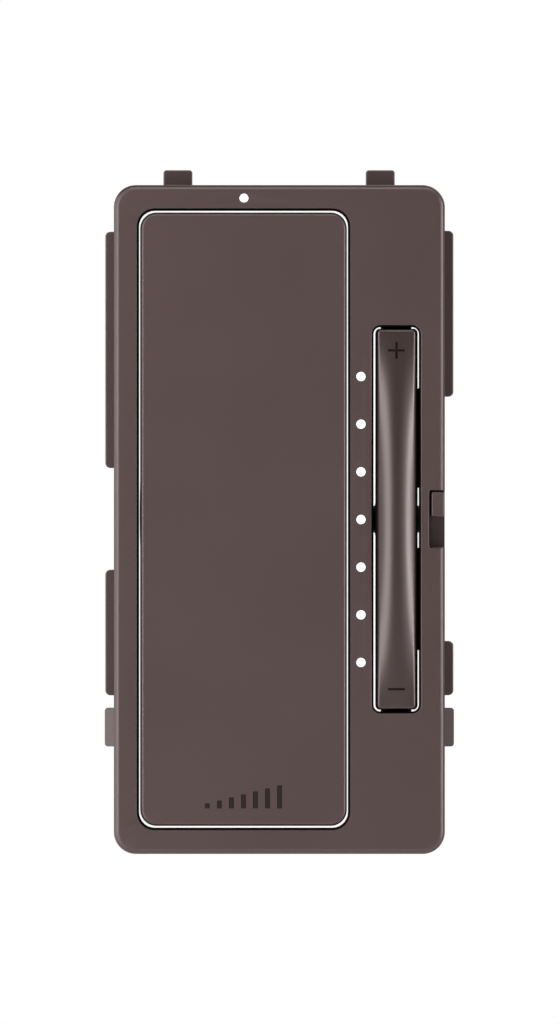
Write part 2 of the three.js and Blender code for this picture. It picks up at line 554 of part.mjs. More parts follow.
function makeHousing() {
  const x = span(0, HOUSING.width);
  const z = span(0, HOUSING.height);
  const wall = HOUSING.wall;
  const floor = HOUSING.back - wall;
  const shell = roundedPlate(x, [HOUSING.front, HOUSING.back], z, HOUSING.corner);
  const cavity = box(
    [x[0] + wall, x[1] - wall], [HOUSING.front - OVERCUT, floor], [z[0] + wall, z[1] - wall],
  );
  const columns = screwPlaces.map((p) => rodAlongY(COLUMN_RADIUS, [PARTS_FRONT, floor + OVERLAP], p.x, p.z, 20));
  const blocks = corners.map(({ sx, sz }) =>
    box(
      onSide(sx, [TERMINAL.floor - TERMINAL.shell, x[1] - TERMINAL.inset]),
      [TERMINAL.y[0] - TERMINAL.shell, TERMINAL.y[1] + TERMINAL.shell],
      span(sz * TERMINAL.z, 2 * (TERMINAL.half_height + TERMINAL.shell)),
    ),
  );
  const pockets = corners.map(({ sx, sz }) =>
    box(
      onSide(sx, [TERMINAL.floor, HOUSING.width]), TERMINAL.y,
      span(sz * TERMINAL.z, 2 * TERMINAL.half_height),
    ),
  );
  const slotX = [CLAMP.x[0] - TAIL_SLOT.clearance, CLAMP.x[1] + TAIL_SLOT.clearance];
  const tailSlots = corners.map(({ sx, sz }) =>
    box(
      onSide(sx, slotX), [TAIL_SLOT.front, TERMINAL.y[0] + OVERLAP],
      span(sz * TERMINAL.z, 2 * (CLAMP.tail_half + TAIL_SLOT.clearance)),
    ),
  );
  const screwBores = screwPlaces.flatMap((p) => [
    rodAlongY(SCREW.bore, [SCREW.front, HOUSING.back + OVERCUT], p.x, p.z),
    rodAlongY(SCREW_HEAD.bore, [SCREW_HEAD.front - GAP, HOUSING.back + OVERCUT], p.x, p.z, 20),
  ]);
  const sliderNotch = box(
    [SLIDER_CUT.housing_x, HOUSING.width], [HOUSING.front - OVERCUT, SLIDER.back + OVERLAP],
    span(0, 2 * SLIDER_CUT.half_height),
  );
  const grown = join(cut(shell, cavity), ...columns, ...blocks);
  return cut(grown, ...pockets, ...tailSlots, ...screwBores, sliderNotch);
}

function makeHousingScrew() {
  const shaft = rodAlongY(SCREW.radius, [SCREW.front, SCREW_HEAD.front + OVERLAP], 0, 0, 14);
  const head = rodAlongY(SCREW_HEAD.radius, [SCREW_HEAD.front, SCREW_HEAD.back], 0, 0, 20);
  const y = [SCREW_HEAD.back - SCREW_CROSS.depth, SCREW_HEAD.back + OVERCUT];
  const across = box(span(0, SCREW_CROSS.size), y, span(0, SCREW_CROSS.slot));
  const upright = box(span(0, SCREW_CROSS.slot), y, span(0, SCREW_CROSS.size));
  return cut(join(shaft, head), across, upright);
}

// A clamp plate on the right side, with the tail that goes down to the power board.
function makeClamp() {
  const [front, back] = CLAMP.y;
  const plate = box(CLAMP.x, [front, back], span(0, 2 * CLAMP.half_height));
  const tail = box(CLAMP.x, [PARTS_FRONT, front + OVERLAP], span(0, 2 * CLAMP.tail_half));
  const boreX = [CLAMP.x[0] - OVERCUT, CLAMP.x[1] + OVERCUT];
  return cut(join(plate, tail), rodAlongX(CLAMP.bore, boreX, (front + back) / 2, 0));
}

// A screw on the right side, through its clamp plate.
function makeTerminalScrew() {
  const y = (CLAMP.y[0] + CLAMP.y[1]) / 2;
  const [shaftEnd, seat] = TERMINAL_SCREW.x;
  const top = TERMINAL_HEAD.x[1];
  const shaft = rodAlongX(TERMINAL_SCREW.radius, [shaftEnd, seat + OVERLAP], y, 0, 14);
  const head = rodAlongX(TERMINAL_HEAD.radius, TERMINAL_HEAD.x, y, 0, 20);
  const slot = box(
    [top - TERMINAL_HEAD.slot_depth, top + OVERCUT], span(y, 2 * TERMINAL_HEAD.radius + OVERCUT),
    span(0, TERMINAL_HEAD.slot),
  );
  return cut(join(shaft, head), slot);
}

// ---------- assembly ----------

const FINISHES = {
  bronze_plastic: { color: 0x5e504f, roughness: 0.45, metalness: 0.0 },
  glossy_bronze: { color: 0x564847, roughness: 0.28, metalness: 0.0 },
  white_guide: { color: 0xf4f4f2, roughness: 0.4, metalness: 0.0 },
  black_plastic: { color: 0x1c1b1b, roughness: 0.6, metalness: 0.0 },
  housing_plastic: { color: 0x2a2829, roughness: 0.55, metalness: 0.0 },
  steel: { color: 0xb4b6b8, roughness: 0.3, metalness: 1.0 },
  brass: { color: 0xc8a15a, roughness: 0.35, metalness: 1.0 },
  aluminium: { color: 0xc3c6c9, roughness: 0.4, metalness: 1.0 },
  board_green: { color: 0x1f5a3a, roughness: 0.5, metalness: 0.0 },
  led_white: { color: 0xf0eedc, roughness: 0.3, metalness: 0.0 },
  plunger_ivory: { color: 0xd8d2c2, roughness: 0.5, metalness: 0.0 },
  capacitor_yellow: { color: 0xc9a63a, roughness: 0.4, metalness: 0.0 },
  ferrite: { color: 0x3b3d42, roughness: 0.7, metalness: 0.0 },
  copper: { color: 0xb0643a, roughness: 0.35, metalness: 1.0 },
  electrolytic_sleeve: { color: 0x202a4a, roughness: 0.4, metalness: 0.0 },
  varistor_blue: { color: 0x2f5f9a, roughness: 0.5, metalness: 0.0 },
  fuse_ceramic: { color: 0xe4dfd4, roughness: 0.4, metalness: 0.0 },
  sheet_film: { color: 0xd9d4c4, roughness: 0.5, metalness: 0.0 },
  label_paper: { color: 0xe9e8e2, roughness: 0.7, metalness: 0.0 },
};

// A named piece, moved to its place in X and Z and turned about Y.
function addMesh(group, name, body, finish, { x = 0, z = 0, turn = 0 } = {}) {
  const made = body.getMesh();
  const geometry = new THREE.BufferGeometry();
  geometry.setAttribute("position", new THREE.BufferAttribute(made.vertProperties, 3));
  geometry.setIndex(new THREE.BufferAttribute(made.triVerts, 1));
  geometry.computeVertexNormals();
  const mesh = new THREE.Mesh(geometry, new THREE.MeshStandardMaterial(FINISHES[finish]));
  mesh.name = name;
  mesh.position.set(x, 0, z);
  mesh.rotation.y = turn;
  group.add(mesh);
}

const dimmer = new THREE.Group();
dimmer.name = "dimmer_slide_switch";

const front = new THREE.Group();
dimmer.add(front);
addMesh(front, "face_frame", makeFaceFrame(), "bronze_plastic");
addMesh(front, "latch_left", makeLatch(), "bronze_plastic", { z: LATCH.z, turn: Math.PI });
addMesh(front, "latch_right", makeLatch(), "bronze_plastic", { z: LATCH.z });
addMesh(front, "paddle", makePaddle(), "bronze_plastic");
addMesh(front, "dimmer_bar", makeBar(), "glossy_bronze");
addMesh(front, "air_gap_slider", makeSlider(), "bronze_plastic");
addMesh(front, "light_guide", makeLightGuide(), "white_guide");

const core = new THREE.Group();
dimmer.add(core);
const paddleRodX = span(PADDLE_AXIS_X, 2 * PADDLE_ROD.half_length);
const barPinX = span(BAR_AXIS_X, 2 * BAR_PIN.half_length);
addMesh(core, "chassis", makeChassis(), "black_plastic");
addMesh(core, "paddle_rod", rodAlongX(PADDLE_ROD.radius, paddleRodX, PIVOT_Y, 0, 24), "steel");
addMesh(core, "bar_pin", rodAlongX(BAR_PIN.radius, barPinX, PIVOT_Y, BAR.z, 24), "steel");
for (const [name, place] of Object.entries(SWITCH_PLACES)) {
  addMesh(core, `switch_${name}`, makeSwitchBody(), "black_plastic", place);
  addMesh(core, `plunger_${name}`, makePlunger(), "plunger_ivory", place);
}
stemPlaces.forEach((place, i) => {
  const name = i < LEVEL_LIGHTS.count ? `led_level_${i + 1}` : "led_locator";
  addMesh(core, name, makeLight(), "led_white", place);
});
const bridgeY = [SLIDER.back + GAP, CONTACT.front - GAP];
addMesh(core, "contact_bridge", box([SLIDER.foot_x, CONTACT_BRIDGE_END], bridgeY, CONTACT.z), "brass");
CONTACT.xs.forEach((x, i) => {
  addMesh(core, `contact_${i + 1}`, box(x, [CONTACT.front, UI_BOARD.front - GAP], CONTACT.z), "brass");
});

const electronics = new THREE.Group();
dimmer.add(electronics);
const headerY = [UI_BOARD.back + GAP, POWER_BOARD.front - GAP];
const controller = box(
  span(MICROCONTROLLER.x, MICROCONTROLLER.size), [UI_BOARD.back + GAP, MICROCONTROLLER.back],
  span(MICROCONTROLLER.z, MICROCONTROLLER.size),
);
const filmCapacitor = box(span(0, FILM_CAPACITOR.width), [PARTS_FRONT, FILM_CAPACITOR.back], FILM_CAPACITOR.z);
const electrolytic = rodAlongY(
  ELECTROLYTIC.radius, [PARTS_FRONT, ELECTROLYTIC.back], ELECTROLYTIC.x, ELECTROLYTIC.z, 20,
);
addMesh(electronics, "ui_board", makeUiBoard(), "board_green");
addMesh(electronics, "power_board", makePowerBoard(), "board_green");
addMesh(electronics, "insulating_sheet", makeSheet(), "sheet_film");
addMesh(electronics, "board_header", box(HEADER.x, headerY, HEADER.z), "black_plastic");
addMesh(electronics, "microcontroller", controller, "black_plastic");
addMesh(electronics, "film_capacitor", filmCapacitor, "capacitor_yellow");
addMesh(electronics, "choke_core", makeChokeCore(), "ferrite");
addMesh(electronics, "choke_winding", makeChokeWinding(), "copper");
addMesh(electronics, "triac", makeTriac(), "black_plastic");
addMesh(electronics, "heat_sink", board(HEAT_SINK).plate, "aluminium");
addMesh(electronics, "electrolytic_capacitor", electrolytic, "electrolytic_sleeve");
addMesh(electronics, "varistor", rodAlongX(VARISTOR.radius, VARISTOR.x, VARISTOR.y, VARISTOR.z), "varistor_blue");
addMesh(electronics, "fuse", rodAlongZ(FUSE.radius, FUSE.z, FUSE.x, FUSE.y), "fuse_ceramic");

const rear = new THREE.Group();
dimmer.add(rear);
const labelY = [HOUSING.back + GAP, HOUSING.back + LABEL.thickness];
addMesh(rear, "rear_housing", makeHousing(), "housing_plastic");
addMesh(rear, "rating_label", box(span(0, LABEL.width), labelY, span(0, LABEL.height)), "label_paper");
screwPlaces.forEach((place, i) => {
  addMesh(rear, `housing_screw_${i + 1}`, makeHousingScrew(), "steel", place);
});
corners.forEach(({ sx, sz }, i) => {
  const place = { z: sz * TERMINAL.z, turn: sx < 0 ? Math.PI : 0 };
  addMesh(rear, `terminal_clamp_${i + 1}`, makeClamp(), "brass", place);
  addMesh(rear, `terminal_screw_${i + 1}`, makeTerminalScrew(), "steel", place);
});

export default dimmer;
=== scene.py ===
"""Dimmer switch module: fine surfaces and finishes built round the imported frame.

Lengths in this file are millimetres until a mesh is made, when MM turns them into metres.
+X is to the right seen from the room, +Z up and +Y into the wall.
"""
import json
import math

import bmesh
import bpy
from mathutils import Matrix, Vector

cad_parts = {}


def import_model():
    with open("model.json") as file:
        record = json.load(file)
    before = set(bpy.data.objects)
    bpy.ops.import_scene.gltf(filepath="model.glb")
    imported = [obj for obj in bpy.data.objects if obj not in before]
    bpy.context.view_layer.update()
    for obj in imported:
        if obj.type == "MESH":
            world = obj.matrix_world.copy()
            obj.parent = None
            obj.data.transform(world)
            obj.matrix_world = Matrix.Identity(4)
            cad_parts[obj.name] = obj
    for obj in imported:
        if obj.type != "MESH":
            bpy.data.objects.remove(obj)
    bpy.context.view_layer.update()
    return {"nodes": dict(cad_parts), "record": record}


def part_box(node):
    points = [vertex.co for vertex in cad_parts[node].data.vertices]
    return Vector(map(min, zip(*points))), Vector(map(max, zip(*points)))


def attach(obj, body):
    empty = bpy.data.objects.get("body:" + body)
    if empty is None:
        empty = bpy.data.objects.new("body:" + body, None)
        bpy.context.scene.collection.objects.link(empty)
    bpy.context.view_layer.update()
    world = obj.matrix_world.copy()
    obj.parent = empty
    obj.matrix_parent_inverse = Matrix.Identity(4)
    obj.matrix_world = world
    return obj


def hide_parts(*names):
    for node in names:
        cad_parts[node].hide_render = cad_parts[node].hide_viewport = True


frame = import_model()

MM = 0.001
BODY = "module"
X, Y, Z = 0, 1, 2
SIDES = (-1, 1)
CORNERS = [(side_x, side_z) for side_x in SIDES for side_z in SIDES]


def node_span(node, axis):
    """Lowest and highest place of a CAD node along one axis, in millimetres."""
    low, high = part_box(node)
    return low[axis] / MM, high[axis] / MM


# ---------- sizes that several pieces share ----------

FACE_FRONT = node_span("face_frame", Y)[0]
FACE = {"x": 0, "z": 0, "width": 33.0, "height": 66.7, "corner": 2.2}
FACE_BACK = -4.9
PADDLE_FRONT = node_span("paddle", Y)[0]
PADDLE = {"x": -3.575, "z": 0.03, "width": 20.42, "height": 60.98, "corner": 1.5}
BAR = {"x": 11.68, "z": 0.03, "width": 3.8, "height": 37.8, "corner": 0.4}
BAR_PAD_FRONT = -6.6
LIP_DEPTH = 0.5
PIVOT_Y = -3.9
PADDLE_AXIS_X = -3.535
BAR_AXIS_X = 11.65

LEVEL_X = 8.14
LEVEL_PITCH = 4.753
LEVEL_ROWS = range(-3, 4)
LOCATOR = (-3.53, 32.07)

NOTCH = {"x": 14.93, "z": (-2.88, 2.95), "ledge": -3.9, "corner": 0.3, "mouth": 0.08, "draft": 0.14}
NOTCH_ROOM = (-3.4, 3.4)
GUIDE_FRONT = -3.4
GUIDE_BACK = -2.4
OUTSIDE = 18.0


def light_places():
    """Centres of the seven level lights and of the locator light."""
    return [(LEVEL_X, row * LEVEL_PITCH) for row in LEVEL_ROWS] + [LOCATOR]


# ---------- spans and outlines, seen from the front ----------

def about(centre, size):
    """A span of a size about its centre."""
    return centre - size / 2, centre + size / 2


def beside(side, near, far, centre=0.0):
    """A span on the right of a centre, or on its left where side is -1."""
    return sorted((centre + side * near, centre + side * far))


def rectangle(x, z):
    """Corner points of an upright rectangle, counter-clockwise."""
    return [(x[0], z[0]), (x[1], z[0]), (x[1], z[1]), (x[0], z[1])]


def cross(x, z, arm_x, arm_z):
    """Corner points of an upright slot with an arm out of each side, counter-clockwise."""
    right = [(x[1], arm_z[0]), (arm_x[1], arm_z[0]), (arm_x[1], arm_z[1]), (x[1], arm_z[1])]
    left = [(x[0], arm_z[1]), (arm_x[0], arm_z[1]), (arm_x[0], arm_z[0]), (x[0], arm_z[0])]
    return [(x[0], z[0]), (x[1], z[0])] + right + [(x[1], z[1]), (x[0], z[1])] + left


class Outline:
    """A closed outline with round corners that can be drawn again further in or out."""

    SMALLEST_RADIUS = 0.004

    def __init__(self, points, radius, steps=7):
        self.points = [Vector(p) for p in points]
        self.radii = [radius] * len(points) if isinstance(radius, (int, float)) else list(radius)
        self.steps = steps

    def at(self, inset):
        """The outline's points after every edge has moved inwards."""
        count = len(self.points)
        directions = [
            (self.points[(i + 1) % count] - self.points[i]).normalized() for i in range(count)
        ]
        made = []
        for i in range(count):
            before, after = directions[i - 1], directions[i]
            turn = before.x * after.y - before.y * after.x
            sweep = math.atan2(turn, before.dot(after))
            inward = Vector((-before.y, before.x)), Vector((-after.y, after.x))
            corner = self.points[i] + (inward[0] + inward[1]) * (inset / (1 + before.dot(after)))
            side = 1 if turn > 0 else -1
            radius = max(self.radii[i] - side * inset, self.SMALLEST_RADIUS)
            start = corner - before * (radius * math.tan(abs(sweep) / 2))
            centre = start + inward[0] * side * radius
            arm = start - centre
            for step in range(self.steps + 1):
                angle = sweep * step / self.steps
                made.append(centre + Vector((
                    arm.x * math.cos(angle) - arm.y * math.sin(angle),
                    arm.x * math.sin(angle) + arm.y * math.cos(angle),
                )))
        return made


class Circle:
    """A round outline with the same use as Outline."""

    def __init__(self, centre, radius, sides=36):
        self.centre = Vector(centre)
        self.radius = radius
        self.sides = sides

    def at(self, inset):
        turns = [2 * math.pi * i / self.sides for i in range(self.sides)]
        reach = self.radius - inset
        return [self.centre + Vector((math.cos(t), math.sin(t))) * reach for t in turns]


def rounded(place, steps=7):
    """The outline of a window or plate given by its centre, size and corner."""
    x, z = about(place["x"], place["width"]), about(place["z"], place["height"])
    return Outline(rectangle(x, z), place["corner"], steps)


def inside(place, wall, corner):
    """The place of a hollow that leaves a wall all round."""
    width, height = place["width"] - 2 * wall, place["height"] - 2 * wall
    return {**place, "width": width, "height": height, "corner": corner}


# ---------- meshes ----------

def fillet(front, radius, way=1, steps=6):
    """(inset, y) pairs that round an edge between a face at y = front and the wall behind it."""
    pairs = []
    for step in range(steps + 1):
        angle = math.pi / 2 * step / steps
        y = front + way * radius * (1 - math.cos(angle))
        pairs.append((radius * (1 - math.sin(angle)), y))
    return pairs


def back_fillet(back, radius, steps=3):
    """(inset, y) pairs that round an edge from a wall to the face behind it at y = back."""
    return list(reversed(fillet(back, radius, -1, steps)))


def edge_profile(front, back, front_radius, back_radius):
    """(inset, y) pairs from the front face round its edge, along the wall and round to the back."""
    return fillet(front, front_radius) + back_fillet(back, back_radius)


def lip_profile(front, back, radius, draft):
    """(inset, y) pairs for a wall with a rounded front edge, that then stands out by the draft."""
    return fillet(front, radius) + [(-draft, front + LIP_DEPTH), (-draft, back)]


def add_ring(bm, points, y):
    return [bm.verts.new((p.x, y, p.y)) for p in points]


def add_wall(bm, rings):
    """Faces between rings that have the same number of points."""
    for near, far in zip(rings, rings[1:]):
        for i in range(len(near)):
            j = (i + 1) % len(near)
            bm.faces.new((near[i], near[j], far[j], far[i]))


def ring_edges(bm, ring):
    found = []
    for i, vert in enumerate(ring):
        other = ring[(i + 1) % len(ring)]
        found.append(bm.edges.get((vert, other)) or bm.edges.new((vert, other)))
    return found


def add_cap(bm, rings):
    """A flat face across rings of one level, open inside the inner rings."""
    edges = [edge for ring in rings for edge in ring_edges(bm, ring)]
    bmesh.ops.triangle_fill(bm, use_beauty=True, use_dissolve=False, edges=edges)


def wall_rings(bm, outline, profile, hole=False):
    """A wall that follows a profile round an outline; in a hole, insets go the other way."""
    way = -1 if hole else 1
    rings = [add_ring(bm, outline.at(way * inset), y) for inset, y in profile]
    add_wall(bm, rings)
    return rings


def shade(piece, sharp_degrees=32):
    """Smooth shading that stays flat on flats and sharp at true corners."""
    piece.data.shade_smooth()
    piece.data.set_sharp_from_angle(angle=math.radians(sharp_degrees))


def finish_mesh(bm, name, sharp_degrees=32):
    """A smooth-shaded object in metres from a closed mesh in millimetres."""
    bmesh.ops.remove_doubles(bm, verts=bm.verts, dist=1e-5)
    bmesh.ops.recalc_face_normals(bm, faces=bm.faces)
    for vert in bm.verts:
        vert.co *= MM
    mesh = bpy.data.meshes.new(name)
    bm.to_mesh(mesh)
    bm.free()
    piece = bpy.data.objects.new(name, mesh)
    bpy.context.scene.collection.objects.link(piece)
    shade(piece, sharp_degrees)
    return piece


def plate(name, outline, y, edges, holes=()):
    """A plate from y[0] to y[1] with rounded front and back edges; holes go right through it."""
    bm = bmesh.new()
    profile = edge_profile(*y, *edges)
    walls = [wall_rings(bm, outline, profile)]
    walls += [wall_rings(bm, hole, profile, hole=True) for hole in holes]
    add_cap(bm, [rings[0] for rings in walls])
    add_cap(bm, [rings[-1] for rings in walls])
    return finish_mesh(bm, name)


def block(name, x, y, z, radius=0):
    """A box, with every edge rounded where a radius is given."""
    bm = bmesh.new()
    bmesh.ops.create_cube(bm, size=1)
    for vert in bm.verts:
        vert.co = Vector((
            x[0] + (vert.co.x + 0.5) * (x[1] - x[0]),
            y[0] + (vert.co.y + 0.5) * (y[1] - y[0]),
            z[0] + (vert.co.z + 0.5) * (z[1] - z[0]),
        ))
    if radius:
        edges = bm.edges[:]
        bmesh.ops.bevel(bm, geom=edges, offset=radius, segments=3, profile=0.5, affect="EDGES")
    return finish_mesh(bm, name)


def turned(name, section, axis, centre, sides=40):
    """A solid turned about X or Y, from (radius, distance along the axis) pairs."""
    bm = bmesh.new()
    rings = []
    for radius, along in section:
        rings.append(add_ring(bm, Circle((0, 0), radius, sides).at(0), along))
    add_wall(bm, rings)
    bm.faces.new(rings[0])
    bm.faces.new(rings[-1])
    piece = finish_mesh(bm, name)
    order = (Y, X, Z) if axis == X else (X, Y, Z)
    for vert in piece.data.vertices:
        vert.co = Vector([vert.co[i] for i in order]) + Vector(centre) * MM
    if axis == X:
        piece.data.flip_normals()
    return piece


def rod(name, radius, span, axis, centre, sides=40):
    """A plain round rod along X or Y."""
    return turned(name, [(radius, span[0]), (radius, span[1])], axis, centre, sides)


LENS_ROOT = 0.4


def lens(name, edge, reach, z, y, steps=16):
    """A slim lens that stands out of an upright edge, rooted a little way inside it."""
    root = edge - math.copysign(LENS_ROOT, reach)
    middle, half = (z[0] + z[1]) / 2, (z[1] - z[0]) / 2
    front = [(root, z[0])]
    for step in range(steps + 1):
        t = 2 * step / steps - 1
        front.append((edge + reach * (1 - t * t), middle + half * t))
    front.append((root, z[1]))
    bm = bmesh.new()
    rings = [[bm.verts.new((px, py, pz)) for px, pz in front] for py in y]
    add_wall(bm, rings)
    for ring in rings:
        bm.faces.new(ring)
    return finish_mesh(bm, name)


def combine(piece, tool, operation):
    """Joins or cuts a piece with a tool, and removes the tool."""
    modifier = piece.modifiers.new(operation.lower(), "BOOLEAN")
    modifier.operation = operation
    modifier.solver = "EXACT"
    modifier.object = tool
    bpy.context.view_layer.update()
    evaluated = piece.evaluated_get(bpy.context.evaluated_depsgraph_get())
    mesh = bpy.data.meshes.new_from_object(evaluated)
    piece.modifiers.clear()
    old = piece.data
    piece.data = mesh
    mesh.name = piece.name
    bpy.data.meshes.remove(old)
    bpy.data.objects.remove(tool)


def join_all(piece, tools):
    for tool in tools:
        combine(piece, tool, "UNION")


def cut_all(piece, tools):
    for tool in tools:
        combine(piece, tool, "DIFFERENCE")


# ---------- finishes ----------

class Signal:
    """A number socket that can be used in sums."""

    def __init__(self, paint, socket):
        self.paint = paint
        self.socket = socket

    def __add__(self, other):
        return self.paint.maths("ADD", self, other)

    __radd__ = __add__

    def __mul__(self, other):
        return self.paint.maths("MULTIPLY", self, other)

    __rmul__ = __mul__

    def __sub__(self, other):
        return self.paint.maths("SUBTRACT", self, other)

    def __rsub__(self, other):
        return self.paint.maths("SUBTRACT", other, self)


class Paint:
    """One procedural material, made node by node."""

    def __init__(self, name, **constants):
        self.material = bpy.data.materials.new(name)
        self.material.use_nodes = True
        self.tree = self.material.node_tree
        self.shader = self.tree.nodes["Principled BSDF"]
        for socket, value in constants.items():
            self.shader.inputs[socket.replace("_", " ")].default_value = value
        self.place = self.node("ShaderNodeTexCoord", {}, {}).outputs["Object"]

    def node(self, kind, settings, sockets):
        """Any node: its type, its settings, then the values or links of its sockets."""
        made = self.tree.nodes.new(kind)
        for key, value in settings.items():
            setattr(made, key, value)
        for key, value in sockets.items():
            self.feed(made.inputs[key], value)
        return made

    def feed(self, socket, value):
        """Links a socket to a signal or another socket, or gives it a plain value."""
        source = value.socket if isinstance(value, Signal) else value
        if isinstance(source, bpy.types.NodeSocket):
            self.tree.links.new(source, socket)
        else:
            socket.default_value = source

    def maths(self, operation, *values):
        """A Math node on numbers or signals."""
        node = self.node("ShaderNodeMath", {"operation": operation}, dict(enumerate(values)))
        return Signal(self, node.outputs[0])

    def below(self, signal, limit):
        """1 where a signal is less than a limit, and 0 elsewhere."""
        return self.maths("LESS_THAN", signal, limit)

    def noise(self, size, detail=3.0, stretch=(1, 1, 1)):
        """Soft noise whose lumps are about this many millimetres wide."""
        scale = tuple(1 / (size * MM * s) for s in stretch)
        scaled = self.node("ShaderNodeMapping", {}, {"Vector": self.place, "Scale": scale})
        sockets = {"Vector": scaled.outputs[0], "Scale": 1.0, "Detail": detail}
        return Signal(self, self.node("ShaderNodeTexNoise", {}, sockets).outputs["Fac"])

    def blend(self, mask, low, high):
        """A colour between two others, by a mask."""
        sockets = {"Factor": mask, "A": (*low, 1), "B": (*high, 1)}
        return self.node("ShaderNodeMix", {"data_type": "RGBA"}, sockets).outputs["Result"]

    def set(self, socket, value):
        self.feed(self.shader.inputs[socket], value)

    def bump(self, height, depth):
        """Raises the surface by a height signal of 0 to 1, over a depth in millimetres."""
        sockets = {"Strength": 1.0, "Distance": depth * MM, "Height": height}
        self.set("Normal", self.node("ShaderNodeBump", {}, sockets).outputs["Normal"])


def mixed(colour, share):
    """A colour made lighter or darker by a share."""
    return tuple(min(1.0, c * share) for c in colour)


def vary(paint, mask, colour, variation):
    """Lets the base colour go this share up and down, by a mask."""
    dark, light = mixed(colour, 1 - variation), mixed(colour, 1 + variation)
    paint.set("Base Color", paint.blend(mask, dark, light))


def moulded(name, colour, roughness, variation=0.05, grain=0.25, depth=0.004, **constants):
    """Moulded plastic: faint flow marks in the colour, an eroded-mould grain and uneven gloss."""
    paint = Paint(name, **constants)
    wear = 0.03
    flow = paint.noise(9.0, detail=2.0)
    fine = paint.noise(grain, detail=4.0)
    vary(paint, flow * 0.65 + fine * 0.35, colour, variation)
    paint.set("Roughness", roughness - wear + 2 * wear * flow)
    paint.bump(fine, depth)
    return paint.material


def plated(name, colour, roughness, stretch=(1, 1, 1)):
    """Metal with a drawn or tumbled grain."""
    paint = Paint(name, Metallic=1.0)
    wear = 0.08
    cloud = paint.noise(4.0, detail=3.0)
    fine = paint.noise(0.3, detail=4.0, stretch=stretch)
    vary(paint, cloud * 0.5 + fine * 0.5, colour, 0.12)
    paint.set("Roughness", roughness - wear + 2 * wear * fine)
    paint.bump(fine, 0.004)
    return paint.material


def printed_label(name, paper, ink):
    """Paper with a printed border, a header bar and ruled lines, and no words."""
    border_out, border_in = (8.3, 17.3), (8.1, 17.1)
    header_low, header_high = 12.5, 15.5
    lines_top, lines_per_mm, line_share = 10.5, 0.4, 0.1
    mark_reach, mark_top = 7.0, 16.0

    paint = Paint(name)
    axes = paint.node("ShaderNodeSeparateXYZ", {}, {"Vector": paint.place})
    across = paint.maths("ABSOLUTE", Signal(paint, axes.outputs["X"])) * (1 / MM)
    up = Signal(paint, axes.outputs["Z"]) * (1 / MM)
    high = paint.maths("ABSOLUTE", up)
    within_out = paint.below(across, border_out[0]) * paint.below(high, border_out[1])
    within_in = paint.below(across, border_in[0]) * paint.below(high, border_in[1])
    header = paint.maths("GREATER_THAN", up, header_low) * paint.below(up, header_high)
    ruling = paint.below(paint.maths("FRACT", up * lines_per_mm), line_share)
    lines = ruling * paint.below(up, lines_top)
    marks = paint.below(across, mark_reach) * paint.maths("MINIMUM", header + lines, 1.0)
    print_mask = within_out - within_in + marks * paint.below(high, mark_top)
    fibre = paint.noise(0.25, detail=4.0)
    ink_mask = paint.maths("MINIMUM", print_mask, 1.0) * (0.85 + 0.15 * fibre)
    paint.set("Base Color", paint.blend(ink_mask, paper, ink))
    paint.set("Roughness", 0.5 + 0.15 * fibre)
    paint.bump(fibre, 0.006)
    return paint.material


BRONZE = (0.052, 0.0308, 0.0294)
BAR_BRONZE = (0.033, 0.0186, 0.0178)
WHITE = (1.0, 1.0, 1.0, 1.0)
WARM_SHEEN = {"Specular_Tint": (1.0, 0.87, 0.86, 1.0), "Specular_IOR_Level": 1.0}

FINISH = {
    "bronze_plastic": moulded("satin_bronze", BRONZE, 0.44, grain=0.14, depth=0.0015, **WARM_SHEEN),
    "glossy_bronze": moulded(
        "polished_bronze", BAR_BRONZE, 0.37, variation=0.04, grain=0.3, depth=0.0006, **WARM_SHEEN
    ),
    # Painted glow: the guide glows white all over though no lamp lights it, standing for the white
    # backdrop seen through the gaps and light holes.
    "white_guide": moulded(
        "opal_guide_painted_glow", (0.92, 0.92, 0.91), 0.4, variation=0.01, depth=0.001,
        Emission_Color=WHITE, Emission_Strength=1.0,
    ),
    "black_plastic": moulded("black_nylon", (0.014, 0.014, 0.014), 0.55, variation=0.12),
    "housing_plastic": moulded(
        "housing_black", (0.024, 0.022, 0.023), 0.52, variation=0.1, grain=0.35, depth=0.01
    ),
    "steel": plated("zinc_steel", (0.52, 0.53, 0.54), 0.32),
    "brass": plated("plain_brass", (0.62, 0.42, 0.15), 0.34),
    "aluminium": plated("milled_aluminium", (0.6, 0.61, 0.63), 0.4, stretch=(1, 1, 14)),
    "board_green": moulded(
        "solder_mask", (0.016, 0.11, 0.05), 0.35, variation=0.2, grain=0.8, depth=0.01
    ),
    "led_white": moulded("led_resin", (0.85, 0.82, 0.66), 0.2, variation=0.02),
    "plunger_ivory": moulded("ivory_nylon", (0.68, 0.63, 0.52), 0.45),
    "capacitor_yellow": moulded("capacitor_box", (0.60, 0.40, 0.05), 0.35),
    "ferrite": moulded("coated_core", (0.05, 0.052, 0.06), 0.6, variation=0.15),
    "copper": plated("enamelled_copper", (0.50, 0.16, 0.05), 0.3),
    "electrolytic_sleeve": moulded("navy_sleeve", (0.014, 0.022, 0.07), 0.3),
    "varistor_blue": moulded("blue_epoxy", (0.03, 0.12, 0.33), 0.45, variation=0.1, depth=0.02),
    "fuse_ceramic": moulded("white_ceramic", (0.78, 0.75, 0.67), 0.35),
    "sheet_film": moulded("insulating_film", (0.68, 0.63, 0.5), 0.4),
    "label_paper": printed_label("ruled_label", (0.62, 0.61, 0.57), (0.05, 0.05, 0.055)),
}
# Painted shade: a near-black copy of the bronze on window and notch walls, skirts, ribs and pivots,
# where shade falls.
SHADE_PAINT_BRONZE = moulded("painted_shade_bronze", (0.004, 0.0025, 0.0025), 0.7, Specular_IOR_Level=0.12)
# Painted shade: a darker bronze on the floors of the engraved level mark and signs.
MARK_SHADE_PAINT_BRONZE = moulded("engraving_painted_shade", (0.019, 0.0095, 0.009), 0.6, Specular_IOR_Level=0.25)


def paint_faces(piece, materials, choose):
    """Gives each face one of the materials; choose gives its number in the list."""
    for material in materials:
        piece.data.materials.append(material)
    for face in piece.data.polygons:
        face.material_index = int(choose(face))


